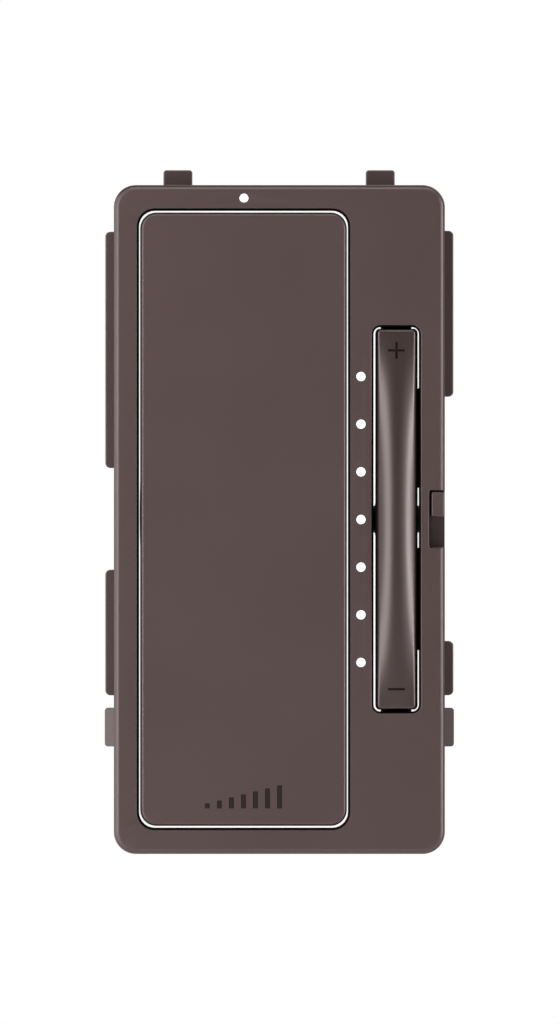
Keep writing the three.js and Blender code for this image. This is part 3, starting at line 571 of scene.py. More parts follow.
def dress(piece, slot, stands_for, body=BODY):
    """Gives a new piece its finish and its place in the model."""
    if not piece.data.materials:
        piece.data.materials.append(FINISH[slot])
    even_shading = piece.modifiers.new("even_shading", "WEIGHTED_NORMAL")
    even_shading.keep_sharp = True
    even_shading.weight = 100
    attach(piece, body)
    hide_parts(stands_for)


# ---------- the face frame ----------

FACE_WALL = 1.2
FACE_FILLET = 0.58
FACE_POCKET_CORNER = 1.0
# The windows: place, then the radius of the mouth and how far the lip stands in.
PADDLE_WINDOW = {"x": -3.575, "z": 0.02, "width": 21.31, "height": 62.0, "corner": 1.8}
PADDLE_WINDOW_EDGE = (0.04, 0.24)
BAR_WINDOW = {"x": 11.655, "z": 0.015, "width": 4.9, "height": 38.71, "corner": 0.87}
BAR_WINDOW_EDGE = (0.1, 0.19)
HOLE_RADIUS = 0.462
HOLE_EDGE = 0.02

LEDGE = {"x": (15.0, 15.6), "y": (NOTCH["ledge"], -3.0), "z": NOTCH_ROOM}
CHANNEL_WALL = {"x": (14.13, 14.26), "y": (-5.0, -2.35), "z": (-3.35, 3.35)}
RIB_ROWS = ((3.15, 13.1), (-13.04, -2.81))
RIB_X, RIB_Y = (13.86, 14.6), (-5.2, -3.45)
RIB_FOOT_X, RIB_FOOT_Y = (13.4, 14.5), (-3.78, -3.46)
RIB_FOOT_SETBACK = 0.01

TRIM_Y = (-1.4, -0.02)
FLANGE_ROWS = ((-1, 5.14, 28.75), (-1, -17.57, -5.02), (1, 12.27, 28.85), (1, -17.56, -12.14))
FLANGE_X = (16.0, 17.39)
FLANGE_CORNER = 0.5
FLANGE_EDGES = (0.12, 0.08)
TAB_PLACES = (-10.135, 10.085)
TAB_WIDTH = 2.89
TAB_Z = (32.8, 34.899)
TAB_CORNER = 0.3
TAB_EDGES = (0.14, 0.08)

# Bounds of the frame's painted shade in its windows, notch and recesses.
SHADE_PAINT_HALF_X = 15.6
SHADE_PAINT_HALF_Z = 32.6
SHADE_PAINT_DEPTH = 0.12

LATCH_POCKET = {"x": (15.9, OUTSIDE), "y": (-3.0, 1.0), "z": (-22.9, -18.6)}
LUG_POCKET = {"x": 8.0, "width": 3.6, "y": (-2.6, -0.9), "z": (31, 32.85)}
GUIDE_POCKET = {"width": 2.8, "y": (-3.6, -2.2), "z": (31, 32.8)}


def notch_cutter():
    """The air-gap slider's notch, flared at its mouth so that the cut edge is rounded."""
    mouth, draft = NOTCH["mouth"], NOTCH["draft"]
    profile = [(-mouth, FACE_FRONT - 1)]
    profile += [(-inset, y) for inset, y in fillet(FACE_FRONT, mouth, steps=4)]
    profile += [(draft, FACE_FRONT + LIP_DEPTH), (draft, NOTCH["ledge"])]
    bm = bmesh.new()
    outline = Outline(rectangle((NOTCH["x"], OUTSIDE), NOTCH["z"]), NOTCH["corner"], steps=4)
    rings = wall_rings(bm, outline, profile)
    add_cap(bm, [rings[0]])
    add_cap(bm, [rings[-1]])
    return finish_mesh(bm, "notch_cutter")


def face_shell():
    """The frame's rim, hollow behind, with its two windows and eight light holes."""
    bm = bmesh.new()
    outer = wall_rings(bm, rounded(FACE, 14), edge_profile(FACE_FRONT, 0, FACE_FILLET, 0.1))
    pocket = rounded(inside(FACE, FACE_WALL, FACE_POCKET_CORNER))
    pocket_rings = wall_rings(bm, pocket, [(0, 0), (0, FACE_BACK)])
    through = []
    for window, edge in ((PADDLE_WINDOW, PADDLE_WINDOW_EDGE), (BAR_WINDOW, BAR_WINDOW_EDGE)):
        profile = lip_profile(FACE_FRONT, FACE_BACK, *edge)
        through.append(wall_rings(bm, rounded(window), profile, hole=True))
    profile = edge_profile(FACE_FRONT, FACE_BACK, HOLE_EDGE, HOLE_EDGE)
    for place in light_places():
        through.append(wall_rings(bm, Circle(place, HOLE_RADIUS), profile, hole=True))
    add_cap(bm, [outer[0]] + [rings[0] for rings in through])
    add_cap(bm, [outer[-1], pocket_rings[0]])
    add_cap(bm, [pocket_rings[-1]] + [rings[-1] for rings in through])
    return finish_mesh(bm, "bezel")


def face_frame():
    piece = face_shell()
    added = [block("ledge", **LEDGE), block("channel_wall", **CHANNEL_WALL)]
    for low, high in RIB_ROWS:
        foot_z = (low + RIB_FOOT_SETBACK, high - RIB_FOOT_SETBACK)
        added.append(block("rib", RIB_X, RIB_Y, (low, high)))
        added.append(block("rib_foot", RIB_FOOT_X, RIB_FOOT_Y, foot_z))
    for side, low, high in FLANGE_ROWS:
        outline = Outline(rectangle(beside(side, *FLANGE_X), (low, high)), FLANGE_CORNER)
        added.append(plate("flange", outline, TRIM_Y, FLANGE_EDGES))
    for centre in TAB_PLACES:
        outline = Outline(rectangle(about(centre, TAB_WIDTH), TAB_Z), TAB_CORNER)
        added.append(plate("tab", outline, TRIM_Y, TAB_EDGES))
    join_all(piece, added)

    cuts = [notch_cutter()]
    for side in SIDES:
        x = beside(side, *LATCH_POCKET["x"])
        cuts.append(block("latch_pocket", x, LATCH_POCKET["y"], LATCH_POCKET["z"]))
    for side_x, side_z in CORNERS:
        x = about(side_x * LUG_POCKET["x"], LUG_POCKET["width"])
        cuts.append(block("lug_pocket", x, LUG_POCKET["y"], beside(side_z, *LUG_POCKET["z"])))
    x = about(LOCATOR[0], GUIDE_POCKET["width"])
    cuts.append(block("guide_pocket", x, GUIDE_POCKET["y"], GUIDE_POCKET["z"]))
    cut_all(piece, cuts)
    shade(piece)
    paint_faces(piece, [FINISH["bronze_plastic"], SHADE_PAINT_BRONZE], in_frame_shade_paint)
    dress(piece, "bronze_plastic", "face_frame")


def in_frame_shade_paint(face):
    """Whether a face of the frame lies in a window or the notch, out of the room's light, and so gets
    painted shade.
    """
    centre = face.center / MM
    recessed = centre.y > FACE_FRONT + SHADE_PAINT_DEPTH
    within = abs(centre.x) < SHADE_PAINT_HALF_X and abs(centre.z) < SHADE_PAINT_HALF_Z
    at_ledge = centre.x > NOTCH["x"] and abs(centre.y - NOTCH["ledge"]) < 0.1
    return within and recessed and not (at_ledge and face.normal.y < -0.9)


# ---------- the latches ----------

LATCH_ROOT = 15.95
LATCH_REACH = 17.44
LATCH_SLOPE = 0.4
LATCH_Y = (-2.6, -0.1)
LATCH_EDGE = 0.02
LATCH_CORNER = 0.3


def latch(side):
    """A spring latch with round outer corners, whose front slopes back to its outer edge."""
    name = "latch_left" if side < 0 else "latch_right"
    left_corner = LATCH_CORNER if side < 0 else LATCH_EDGE
    right_corner = LATCH_CORNER if side > 0 else LATCH_EDGE
    corners = [left_corner, right_corner, right_corner, left_corner]
    place = rectangle(beside(side, LATCH_ROOT, LATCH_REACH), node_span(name, Z))
    outline = Outline(place, corners, steps=4)
    piece = plate("side_" + name, outline, LATCH_Y, (LATCH_EDGE, LATCH_EDGE))
    for vert in piece.data.vertices:
        if vert.co.y < -2.0 * MM:
            share = (abs(vert.co.x) / MM - LATCH_ROOT) / (LATCH_REACH - LATCH_ROOT)
            vert.co.y += LATCH_SLOPE * MM * share
    dress(piece, "bronze_plastic", name)


# ---------- the paddle ----------

PADDLE_SKIRT_BACK = -4.4
PADDLE_WALL = 0.9
PADDLE_HOLLOW_CORNER = 0.7
PADDLE_HOLLOW_DEPTH = 1.2
PADDLE_EDGE = 0.27
PADDLE_DRAFT = 0.09
PADDLE_SHADE_DEPTH = 0.28
# The level mark: seven bars, each higher than the one before.
MARK_COUNT = 7
MARK_PITCH = 1.2
MARK_WIDTH = 0.5
MARK_FOOT = -28.8
MARK_RISE = 0.3
MARK_DEPTH = 0.08
MARK_DRAFT = 0.02
MARK_CORNER = 0.08
MARK_ZONE_HALF_X = 4.0
MARK_ZONE_Z = (-29, -26)

PADDLE_CARRIER_DEPTH = 1.0
PADDLE_LUG = {"x": (6.2, 8.2), "back": -2.75, "z": (-1.6, 1.6), "bore": 0.8}
PADDLE_POST = {"x": -3.53, "rows": (24, -24), "width": 2.4, "back": -2.9}
PADDLE_RIB = {"margin": 0.6, "rows": (-17, -9, 9, 17), "thickness": 0.8, "back": -4.7}
PADDLE_BULGES = {"left": -0.14, "right": 0.06, "z": (-5.0, 6.1)}


def add_level_mark(bm):
    """Recessed bars in the paddle's face; returns the ring round each bar's mouth."""
    mouths = []
    for i in range(MARK_COUNT):
        x = PADDLE["x"] + (i - MARK_COUNT // 2) * MARK_PITCH
        z = (MARK_FOOT, MARK_FOOT + MARK_WIDTH + MARK_RISE * i)
        mark = Outline(rectangle(about(x, MARK_WIDTH), z), MARK_CORNER, steps=3)
        mouth = add_ring(bm, mark.at(0.0), PADDLE_FRONT)
        floor = add_ring(bm, mark.at(MARK_DRAFT), PADDLE_FRONT + MARK_DEPTH)
        add_wall(bm, [mouth, floor])
        bm.faces.new(floor)
        mouths.append(mouth)
    return mouths


def paddle_shell():
    bm = bmesh.new()
    outer_profile = lip_profile(PADDLE_FRONT, PADDLE_SKIRT_BACK, PADDLE_EDGE, PADDLE_DRAFT)
    outer = wall_rings(bm, rounded(PADDLE), outer_profile)
    hollow = rounded(inside(PADDLE, PADDLE_WALL, PADDLE_HOLLOW_CORNER))
    hollow_profile = [(0, PADDLE_SKIRT_BACK), (0, PADDLE_FRONT + PADDLE_HOLLOW_DEPTH)]
    hollow_rings = wall_rings(bm, hollow, hollow_profile)
    mouths = add_level_mark(bm)
    add_cap(bm, [outer[0]] + mouths)
    add_cap(bm, [outer[-1], hollow_rings[0]])
    add_cap(bm, [hollow_rings[-1]])
    return finish_mesh(bm, "paddle_key")


def paddle():
    piece = paddle_shell()
    front = PADDLE_FRONT + PADDLE_CARRIER_DEPTH
    left, right = about(PADDLE["x"], PADDLE["width"])
    added = []
    for side in SIDES:
        x = beside(side, *PADDLE_LUG["x"], PADDLE_AXIS_X)
        lug = block("lug", x, (front, PADDLE_LUG["back"]), PADDLE_LUG["z"])
        bore_x = (x[0] - 1, x[1] + 1)
        cut_all(lug, [rod("bore", PADDLE_LUG["bore"], bore_x, X, (0, PIVOT_Y, 0))])
        added.append(lug)
    for z in PADDLE_POST["rows"]:
        x, size_z = about(PADDLE_POST["x"], PADDLE_POST["width"]), about(z, PADDLE_POST["width"])
        added.append(block("post", x, (front, PADDLE_POST["back"]), size_z))
    for z in PADDLE_RIB["rows"]:
        x = (left + PADDLE_RIB["margin"], right - PADDLE_RIB["margin"])
        size_z = about(z, PADDLE_RIB["thickness"])
        added.append(block("rib", x, (front, PADDLE_RIB["back"]), size_z))
    bulge_y = (PADDLE_FRONT + 0.3, PADDLE_SKIRT_BACK - 0.1)
    for edge, reach in ((left, PADDLE_BULGES["left"]), (right, PADDLE_BULGES["right"])):
        added.append(lens("bulge", edge, reach, PADDLE_BULGES["z"], bulge_y))
    join_all(piece, added)
    shade(piece)
    paint_faces(piece, [FINISH["bronze_plastic"], SHADE_PAINT_BRONZE, MARK_SHADE_PAINT_BRONZE], paddle_shade_paint_choice)
    dress(piece, "bronze_plastic", "paddle", "paddle")


def paddle_shade_paint_choice(face):
    """0 for the paddle's face, 1 for painted shade on what lies behind its front edge, 2 for painted
    shade in the level mark.
    """
    centre = face.center / MM
    depth = centre.y - PADDLE_FRONT
    across = abs(centre.x - PADDLE["x"])
    if across < MARK_ZONE_HALF_X and MARK_ZONE_Z[0] < centre.z < MARK_ZONE_Z[1] and 0.01 < depth < 0.1:
        return 2
    return centre.y > PADDLE_FRONT + PADDLE_SHADE_DEPTH


# ---------- the level bar ----------

BAR_DRAFT = 0.21
BAR_END_DRAFT = 0.09
BAR_EDGE = 0.2
BAR_SHADE_DEPTH = 0.2
BAR_CROWN = BAR_PAD_FRONT - node_span("dimmer_bar", Y)[0]
BAR_SKIRT_BACK = -4.2
BAR_COLUMNS = 28
BAR_END_STEPS = 6
BAR_MIDDLE_STEPS = 24
BAR_SHARP_DEGREES = 40

BAR_WALL = 0.7
BAR_HOLLOW_Y = (-5.4, -3)
BAR_TONGUE = {"width": 2.77, "y": (-4.3, -3.7), "z": (18.0, 20.3)}
BAR_HUB_RADIUS = 1.215
BAR_HUB_X = (0.7, 2.25)
BAR_WEB = {"x": (0.7, 1.6), "y": (-5.6, PIVOT_Y), "height": 2.3}
BAR_TAPER = {"reach": 2.23, "z": (-2.51, 2.57), "y": (-4.85, -4.35)}
BAR_POST = {"rows": (15, -15), "width": 1.6, "height": 2.0, "y": (-5.6, -2.9)}
BAR_BORE_RADIUS = 0.66
BAR_BORE_LENGTH = 3.8

SIGN_FLOOR = BAR_PAD_FRONT + 0.06
SIGN_FRONT = -8.5
SIGN_LENGTH = 1.68
SIGN_STROKE = 0.23
SIGN_ZONE = 0.9
PLUS_Z = 16.86
MINUS_Z = -16.92


def round_off(radius, distance):
    """How far a rounded edge falls away at a distance in from where it ends."""
    return radius - math.sqrt(max(radius ** 2 - max(radius - distance, 0) ** 2, 0))


def bar_section(z):
    """(x, y) points across the bar's front at one height: crowned, with rounded edges."""
    half_width, half_height = BAR["width"] / 2, BAR["height"] / 2
    from_end = half_height - abs(z)
    reach = half_width - round_off(BAR["corner"], from_end)
    crown = BAR_CROWN * (1 - (z / half_height) ** 2)
    points = []
    for i in range(BAR_COLUMNS + 1):
        x = -reach * math.cos(math.pi * i / BAR_COLUMNS)
        drop = max(round_off(BAR_EDGE, reach - abs(x)), round_off(BAR_EDGE, from_end))
        height = crown * (1 - (x / half_width) ** 2)
        points.append((x, BAR_PAD_FRONT - height + drop))
    return points


def bar_stations():
    """Heights of the bar's sections, close together round its ends."""
    half, corner = BAR["height"] / 2, BAR["corner"]
    upper = []
    for i in range(BAR_END_STEPS + 1):
        upper.append(half - corner * (1 - math.cos(math.pi / 2 * i / BAR_END_STEPS)))
    for i in range(1, BAR_MIDDLE_STEPS + 1):
        upper.append((half - corner) * (1 - i / BAR_MIDDLE_STEPS))
    return [-z for z in upper] + list(reversed(upper[:-1]))


def bar_shell():
    """The crowned bar with a skirt that widens a little under its front edge."""
    bm = bmesh.new()
    rings = []
    for z in bar_stations():
        front = bar_section(z)
        left, right = front[0][0] - BAR_DRAFT, front[-1][0] + BAR_DRAFT
        nearness = max(0, 1 - (BAR["height"] / 2 - abs(z)) / BAR["corner"])
        skirt_z = z + math.copysign(BAR_END_DRAFT * nearness, z)
        lip_y = BAR_PAD_FRONT + LIP_DEPTH
        ring = [(x, y, z) for x, y in front]
        ring += [(right, lip_y, skirt_z), (right, BAR_SKIRT_BACK, skirt_z)]
        ring += [(left, BAR_SKIRT_BACK, skirt_z), (left, lip_y, skirt_z)]
        rings.append([bm.verts.new((BAR["x"] + px, py, BAR["z"] + pz)) for px, py, pz in ring])
    add_wall(bm, rings)
    bm.faces.new(rings[0])
    bm.faces.new(rings[-1])
    return finish_mesh(bm, "level_bar", BAR_SHARP_DEGREES)


def level_bar():
    piece = bar_shell()
    low, high = about(BAR["z"], BAR["height"])
    left, right = about(BAR["x"], BAR["width"])
    hollow_x, hollow_z = (left + BAR_WALL, right - BAR_WALL), (low + BAR_WALL, high - BAR_WALL)
    cut_all(piece, [block("hollow", hollow_x, BAR_HOLLOW_Y, hollow_z)])

    pivot = (0, PIVOT_Y, BAR["z"])
    added = []
    for side in SIDES:
        x = about(BAR_AXIS_X, BAR_TONGUE["width"])
        added.append(block("tongue", x, BAR_TONGUE["y"], beside(side, *BAR_TONGUE["z"])))
    for side in SIDES:
        edge = BAR["x"] + side * BAR["width"] / 2
        taper_reach = BAR_AXIS_X + side * BAR_TAPER["reach"] - edge
        web_x, web_z = beside(side, *BAR_WEB["x"], BAR_AXIS_X), about(BAR["z"], BAR_WEB["height"])
        added.append(rod("hub", BAR_HUB_RADIUS, beside(side, *BAR_HUB_X, BAR_AXIS_X), X, pivot))
        added.append(block("web", web_x, BAR_WEB["y"], web_z))
        added.append(lens("taper", edge, taper_reach, BAR_TAPER["z"], BAR_TAPER["y"]))
    for z in BAR_POST["rows"]:
        x = about(BAR_AXIS_X, BAR_POST["width"])
        added.append(block("post", x, BAR_POST["y"], about(z, BAR_POST["height"])))
    join_all(piece, added)
    bore = rod("bore", BAR_BORE_RADIUS, about(BAR_AXIS_X, BAR_BORE_LENGTH), X, pivot)
    cut_all(piece, [bore, plus_cutter(), sign_stroke(SIGN_LENGTH, SIGN_STROKE, MINUS_Z)])
    shade(piece, BAR_SHARP_DEGREES)
    paint_faces(piece, [FINISH["glossy_bronze"], SHADE_PAINT_BRONZE, MARK_SHADE_PAINT_BRONZE], bar_shade_paint_choice)
    dress(piece, "glossy_bronze", "dimmer_bar", "dimmer_bar")


def bar_shade_paint_choice(face):
    """0 for the bar's crown, 1 for painted shade on its skirt and pivots, 2 for painted shade on the
    floor of a sign.
    """
    centre = face.center / MM
    from_sign = min(abs(centre.z - PLUS_Z), abs(centre.z - MINUS_Z))
    near_sign = from_sign < SIGN_ZONE and abs(centre.x - BAR["x"]) < SIGN_ZONE
    if near_sign and abs(centre.y - SIGN_FLOOR) < 0.005:
        return 2
    return centre.y > BAR_PAD_FRONT + BAR_SHADE_DEPTH


def sign_stroke(width, height, z):
    """The recess of one stroke of a sign."""
    return block("sign", about(BAR["x"], width), (SIGN_FRONT, SIGN_FLOOR), about(z, height))


def plus_cutter():
    piece = sign_stroke(SIGN_LENGTH, SIGN_STROKE, PLUS_Z)
    join_all(piece, [sign_stroke(SIGN_STROKE, SIGN_LENGTH, PLUS_Z)])
    return piece


# ---------- the air-gap slider ----------

KNOB = {"x": (15.17, 16.42), "y": (-6.45, -4.0), "z": (0.29, 2.73), "radius": 0.14}
SLIDER_PARTS = {
    "web": {"x": (14.3, 15.5), "y": (-4.75, -4.02), "z": (0.5, 2.5)},
    "arm": {"x": (14.3, 14.9), "y": (-4.74, -0.25), "z": (0.52, 2.48)},
    "foot": {"x": (11.8, 14.88), "y": (-0.9, -0.27), "z": (0.54, 2.46)},
}


def air_gap_slider():
    piece = block("air_gap_knob", **KNOB)
    join_all(piece, [block(name, **sizes) for name, sizes in SLIDER_PARTS.items()])
    shade(piece)
    dress(piece, "bronze_plastic", "air_gap_slider", "air_gap_slider")


# ---------- the light guide ----------

GUIDE_HALF_X = 15.1
GUIDE_HALF_Z = 31.9
GUIDE_CORNER = 1.0
GUIDE_STEP_CORNER = 0.1
GUIDE_NOTCH_X = 14.09
GUIDE_TONGUE_HALF = 1.2
GUIDE_TONGUE_TOP = 32.6
GUIDE_EDGE = 0.05
GUIDE_PADDLE_OPENING = {"x": PADDLE_AXIS_X, "z": 0, "width": 17.5, "height": 58, "corner": 1.0}
GUIDE_BAR_OPENING = {
    "x": (10.1, 13.2),
    "z": (BAR["z"] - 21, BAR["z"] + 21),
    "arm_x": (8.9, 14.05),
    "arm_z": (BAR["z"] - 1.35, BAR["z"] + 1.35),
}
PIP_SECTION = [(0.25, -6.36), (0.38, -6.33), (0.43, -6.25), (0.43, GUIDE_BACK - 0.3)]
STEM_RADIUS = 0.6
STEM_Y = (GUIDE_FRONT + 0.3, 0.6)
LOCATOR_STEM_Z = 29.7


def guide_outline():
    """The guide's plate, stepped in beside the slider, with a tongue up to the locator light."""
    tongue_left, tongue_right = about(LOCATOR[0], 2 * GUIDE_TONGUE_HALF)
    low, high = NOTCH_ROOM
    round_corner, step = [GUIDE_CORNER], [GUIDE_STEP_CORNER]
    return Outline([
        (-GUIDE_HALF_X, -GUIDE_HALF_Z), (GUIDE_HALF_X, -GUIDE_HALF_Z),
        (GUIDE_HALF_X, low), (GUIDE_NOTCH_X, low), (GUIDE_NOTCH_X, high), (GUIDE_HALF_X, high),
        (GUIDE_HALF_X, GUIDE_HALF_Z),
        (tongue_right, GUIDE_HALF_Z), (tongue_right, GUIDE_TONGUE_TOP),
        (tongue_left, GUIDE_TONGUE_TOP), (tongue_left, GUIDE_HALF_Z),
        (-GUIDE_HALF_X, GUIDE_HALF_Z),
    ], 2 * round_corner + 4 * step + round_corner + 4 * step + round_corner, steps=5)


def light_guide():
    holes = (
        rounded(GUIDE_PADDLE_OPENING),
        Outline(cross(**GUIDE_BAR_OPENING), GUIDE_STEP_CORNER, steps=3),
    )
    y, edges = (GUIDE_FRONT, GUIDE_BACK), (GUIDE_EDGE, GUIDE_EDGE)
    piece = plate("opal_light_guide", guide_outline(), y, edges, holes)
    added = [turned("pip", PIP_SECTION, Y, (x, 0, z), sides=28) for x, z in light_places()]
    for x, z in light_places()[:-1] + [(LOCATOR[0], LOCATOR_STEM_Z)]:
        added.append(rod("stem", STEM_RADIUS, STEM_Y, Y, (x, 0, z), sides=24))
    join_all(piece, added)
    shade(piece)
    dress(piece, "white_guide", "light_guide")


# ---------- the rear housing ----------

HOUSING = {"x": 0, "z": 0, "width": 30.4, "height": 64.0, "corner": 0.9}
HOUSING_CAVITY = {"x": 0, "z": 0, "width": 27.6, "height": 61.2, "corner": 0.5}
HOUSING_FRONT = -1.0
HOUSING_BACK = 25.5
HOUSING_SEAM = [(0, 7.6), (0.2, 7.7), (0.2, 8.0), (0, 8.1)]
CAVITY_FLOOR = 24.1
SCREW_X = 11.3
SCREW_Z = 28.0
TERMINAL_Y = 15.5
TERMINAL_Z = 20.0

COLUMN = {"radius": 2.2, "span": (7.65, 24.3)}
SCREW_BORE = {"radius": 1.02, "span": (5.0, 27.0)}
HEAD_BORE = {"radius": 2.0, "span": (24.25, 27.0)}
TERMINAL_SHELL = {"x": (11.0, 14.6), "y": (9.8, 21.2), "height": 10.8}
TERMINAL_POCKET = {"x": (12.2, OUTSIDE), "y": (11.0, 20.0), "height": 8.4, "radius": 0.3}
TAIL_SLOT = {"x": (12.2, 13.4), "y": (9.0, 11.6), "height": 1.8}
SLIDER_NOTCH = {"x": (11.0, 20.0), "y": (-2.0, -0.05), "z": NOTCH_ROOM}
GROOVE_ROWS = range(-2, 3)
GROOVE_Y = (11.0, 20.0)
GROOVE_WIDTH = 0.9
GROOVE_RADIUS = 0.2
SIDE_GROOVE = {"x": (14.85, OUTSIDE), "pitch": 5}
END_GROOVE = {"z": (31.65, 35), "pitch": 4}


def at_screw(side_x, side_z):
    return side_x * SCREW_X, 0, side_z * SCREW_Z


def by_terminal(name, sizes, side_x, side_z):
    """A block beside one of the four terminals."""
    x, z = beside(side_x, *sizes["x"]), about(side_z * TERMINAL_Z, sizes["height"])
    return block(name, x, sizes["y"], z, sizes.get("radius", 0))


def rear_housing():
    bm = bmesh.new()
    profile = fillet(HOUSING_FRONT, 0.05) + HOUSING_SEAM + back_fillet(HOUSING_BACK, 0.5, steps=6)
    outer_rings = wall_rings(bm, rounded(HOUSING), profile)
    cavity_profile = [(0, HOUSING_FRONT), (0, CAVITY_FLOOR)]
    cavity_rings = wall_rings(bm, rounded(HOUSING_CAVITY), cavity_profile)
    add_cap(bm, [outer_rings[0], cavity_rings[0]])
    add_cap(bm, [outer_rings[-1]])
    add_cap(bm, [cavity_rings[-1]])
    piece = finish_mesh(bm, "rear_body")

    added, cuts = [], []
    for corner in CORNERS:
        added.append(rod("column", **COLUMN, axis=Y, centre=at_screw(*corner)))
        added.append(by_terminal("shell", TERMINAL_SHELL, *corner))
        cuts.append(by_terminal("pocket", TERMINAL_POCKET, *corner))
        cuts.append(by_terminal("tail_slot", TAIL_SLOT, *corner))
        cuts.append(rod("bore", **SCREW_BORE, axis=Y, centre=at_screw(*corner)))
        cuts.append(rod("head_bore", **HEAD_BORE, axis=Y, centre=at_screw(*corner)))
    cuts.append(block("slider_notch", **SLIDER_NOTCH))
    for side in SIDES:
        side_x, end_z = beside(side, *SIDE_GROOVE["x"]), beside(side, *END_GROOVE["z"])
        for row in GROOVE_ROWS:
            z = about(row * SIDE_GROOVE["pitch"], GROOVE_WIDTH)
            x = about(row * END_GROOVE["pitch"], GROOVE_WIDTH)
            cuts.append(block("side_groove", side_x, GROOVE_Y, z, GROOVE_RADIUS))
            cuts.append(block("end_groove", x, GROOVE_Y, end_z, GROOVE_RADIUS))
    join_all(piece, added)
    cut_all(piece, cuts)
    shade(piece)
    dress(piece, "housing_plastic", "rear_housing")


LABEL = {"x": 0, "z": 0, "width": 18.0, "height": 36.0, "corner": 0.8}
LABEL_Y = (25.56, 25.699)
LABEL_EDGES = (0.02, 0.03)


def rating_label():
    piece = plate("blank_rating_label", rounded(LABEL), LABEL_Y, LABEL_EDGES)
    dress(piece, "label_paper", "rating_label")


# ---------- screws and terminals ----------

CROSS_HEAD_SECTION = [
    (0.3, 2.5), (0.9, 3.3), (0.9, 24.3), (1.8, 24.3),
    (1.8, 24.9), (1.72, 25.1), (1.4, 25.25), (0.8, 25.3),
]
CROSS_RECESS = {"length": 2.2, "width": 0.42, "y": (24.7, 26)}
CLAMP = {"x": (12.3, 13.3), "y": (12.0, 19.0), "height": 6.4, "radius": 0.18}
CLAMP_TAIL = {"x": (12.35, 13.25), "y": (7.65, 12.5), "height": 1.6}
CLAMP_BORE_RADIUS = 1.35
CLAMP_BORE_X = (11, 14)
BINDING_SECTION = [
    (1.0, 12.4), (1.2, 12.6), (1.2, 13.5), (2.5, 13.5),
    (2.6, 13.6), (2.6, 14.5), (2.45, 14.75), (2.1, 14.9),
]
SCREW_SLOT = {"x": (14.3, 16), "y": about(TERMINAL_Y, 7), "height": 0.6}


def cross_head_screw(index, side_x, side_z):
    centre = at_screw(side_x, side_z)
    piece = turned(f"cross_head_screw_{index}", CROSS_HEAD_SECTION, Y, centre, sides=32)
    length, width = CROSS_RECESS["length"], CROSS_RECESS["width"]
    for size_x, size_z in ((length, width), (width, length)):
        x, z = about(centre[X], size_x), about(centre[Z], size_z)
        cut_all(piece, [block("recess", x, CROSS_RECESS["y"], z)])
    shade(piece)
    dress(piece, "steel", f"housing_screw_{index}")


def wire_clamp(index, side_x, side_z):
    piece = by_terminal(f"wire_clamp_{index}", CLAMP, side_x, side_z)
    join_all(piece, [by_terminal("tail", CLAMP_TAIL, side_x, side_z)])
    centre = (0, TERMINAL_Y, side_z * TERMINAL_Z)
    cut_all(piece, [rod("bore", CLAMP_BORE_RADIUS, beside(side_x, *CLAMP_BORE_X), X, centre)])
    shade(piece)
    dress(piece, "brass", f"terminal_clamp_{index}")


def binding_screw(index, side_x, side_z):
    section = [(radius, side_x * along) for radius, along in BINDING_SECTION]
    centre = (0, TERMINAL_Y, side_z * TERMINAL_Z)
    piece = turned(f"binding_screw_{index}", section, X, centre, sides=36)
    cut_all(piece, [by_terminal("slot", SCREW_SLOT, side_x, side_z)])
    shade(piece)
    dress(piece, "steel", f"terminal_screw_{index}")


# ---------- carried-over nodes ----------

SOFT_EDGE = 0.06


def finish_cad_nodes():
    """Every CAD node that stays gets its slot's finish and softened edges."""
    slots = {row["node"]: row["material_slot"] for row in frame["record"]["subparts"]}
    for name, node in frame["nodes"].items():
        if node.hide_render:
            continue
        node.data.materials.clear()
        node.data.materials.append(FINISH[slots[name]])
        bevel = node.modifiers.new("soft_edges", "BEVEL")
        bevel.width = SOFT_EDGE * MM
        bevel.segments = 2
        bevel.limit_method = "ANGLE"
        bevel.angle_limit = math.radians(40)
        bevel.harden_normals = False


# ---------- stage, in metres ----------

FLOOR_SIZE = 4.4
FLOOR_Z = -0.11
WORLD_GLOW = 0.03
VIEW_DISTANCE = 2.2
VIEW_HEIGHT = 0.10208
VIEW_CENTRE = (0.000015, 0.000748)


def softbox(name, turn, lift, distance, size, brightness):
    """A soft light aimed at the face; turn 0 is straight in front, to the right is positive."""
    light = bpy.data.lights.new(name, "AREA")
    light.shape = "RECTANGLE"
    light.size, light.size_y = size
    light.energy = brightness * math.pi * size[0] * size[1]
    lamp = bpy.data.objects.new(name, light)
    bpy.context.scene.collection.objects.link(lamp)
    turn, lift = math.radians(turn), math.radians(lift)
    flat = math.cos(lift)
    way = Vector((math.sin(turn) * flat, -math.cos(turn) * flat, math.sin(lift)))
    lamp.location = way * distance
    lamp.rotation_euler = way.to_track_quat("Z", "Y").to_euler()
    lamp.visible_camera = False


def floor():
    bpy.ops.mesh.primitive_plane_add(size=FLOOR_SIZE, location=(0, 0, FLOOR_Z))
    piece = bpy.context.object
    piece.name = "floor"
    piece.data.materials.append(moulded(
        "floor_paper", (0.72, 0.72, 0.72), 0.8, variation=0.01, depth=0.001,
        Emission_Color=WHITE, Emission_Strength=0.12,
    ))


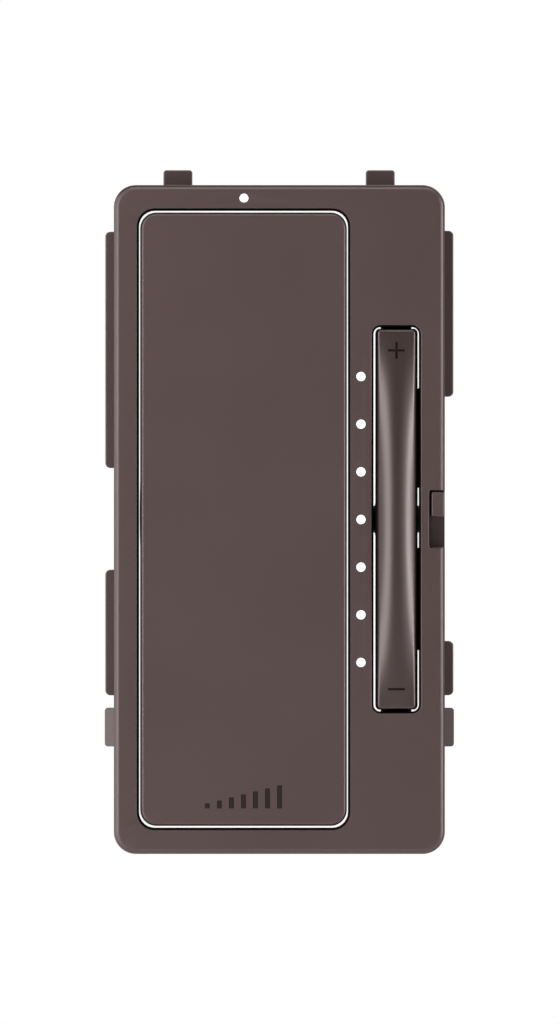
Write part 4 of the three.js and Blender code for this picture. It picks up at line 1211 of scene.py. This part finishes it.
def world():
    """White behind the model where the camera sees it, and a weak glow on the model."""
    studio = bpy.data.worlds.new("studio")
    bpy.context.scene.world = studio
    studio.use_nodes = True
    tree = studio.node_tree
    tree.nodes.clear()
    path = tree.nodes.new("ShaderNodeLightPath")
    mix = tree.nodes.new("ShaderNodeMixShader")
    output = tree.nodes.new("ShaderNodeOutputWorld")
    tree.links.new(path.outputs["Is Camera Ray"], mix.inputs["Fac"])
    for socket, strength in ((1, WORLD_GLOW), (2, 1.0)):
        background = tree.nodes.new("ShaderNodeBackground")
        background.inputs["Color"].default_value = WHITE
        background.inputs["Strength"].default_value = strength
        tree.links.new(background.outputs[0], mix.inputs[socket])
    tree.links.new(mix.outputs[0], output.inputs["Surface"])
    bpy.context.scene.view_settings.view_transform = "Standard"


def camera():
    data = bpy.data.cameras.new("camera")
    data.sensor_width = 36.0
    data.lens = data.sensor_width * VIEW_DISTANCE / VIEW_HEIGHT
    data.clip_start = 0.1
    data.clip_end = 20
    view = bpy.data.objects.new("camera", data)
    bpy.context.scene.collection.objects.link(view)
    view.location = (VIEW_CENTRE[0], FACE_FRONT * MM - VIEW_DISTANCE, VIEW_CENTRE[1])
    view.rotation_euler = (math.pi / 2, 0, 0)
    bpy.context.scene.camera = view


# ---------- assembly ----------

face_frame()
for side in SIDES:
    latch(side)
paddle()
level_bar()
air_gap_slider()
light_guide()
rear_housing()
rating_label()
for number, corner in enumerate(CORNERS, start=1):
    cross_head_screw(number, *corner)
    wire_clamp(number, *corner)
    binding_screw(number, *corner)
finish_cad_nodes()

floor()
softbox("left_softbox", -47.5, 0, 0.3, (0.17, 0.36), 4.8)
softbox("left_side_panel", -102, 0, 0.3, (0.2, 0.42), 2.0)
softbox("right_softbox", 66, 0, 0.6, (0.15, 0.42), 13.2)
softbox("right_fill", 40, 0, 0.6, (0.2, 0.42), 0.8)
softbox("top_softbox", 0, 58, 0.5, (0.5, 0.12), 6.2)
softbox("rear_softbox", 155, 30, 0.8, (0.6, 0.6), 2.2)
world()
camera()
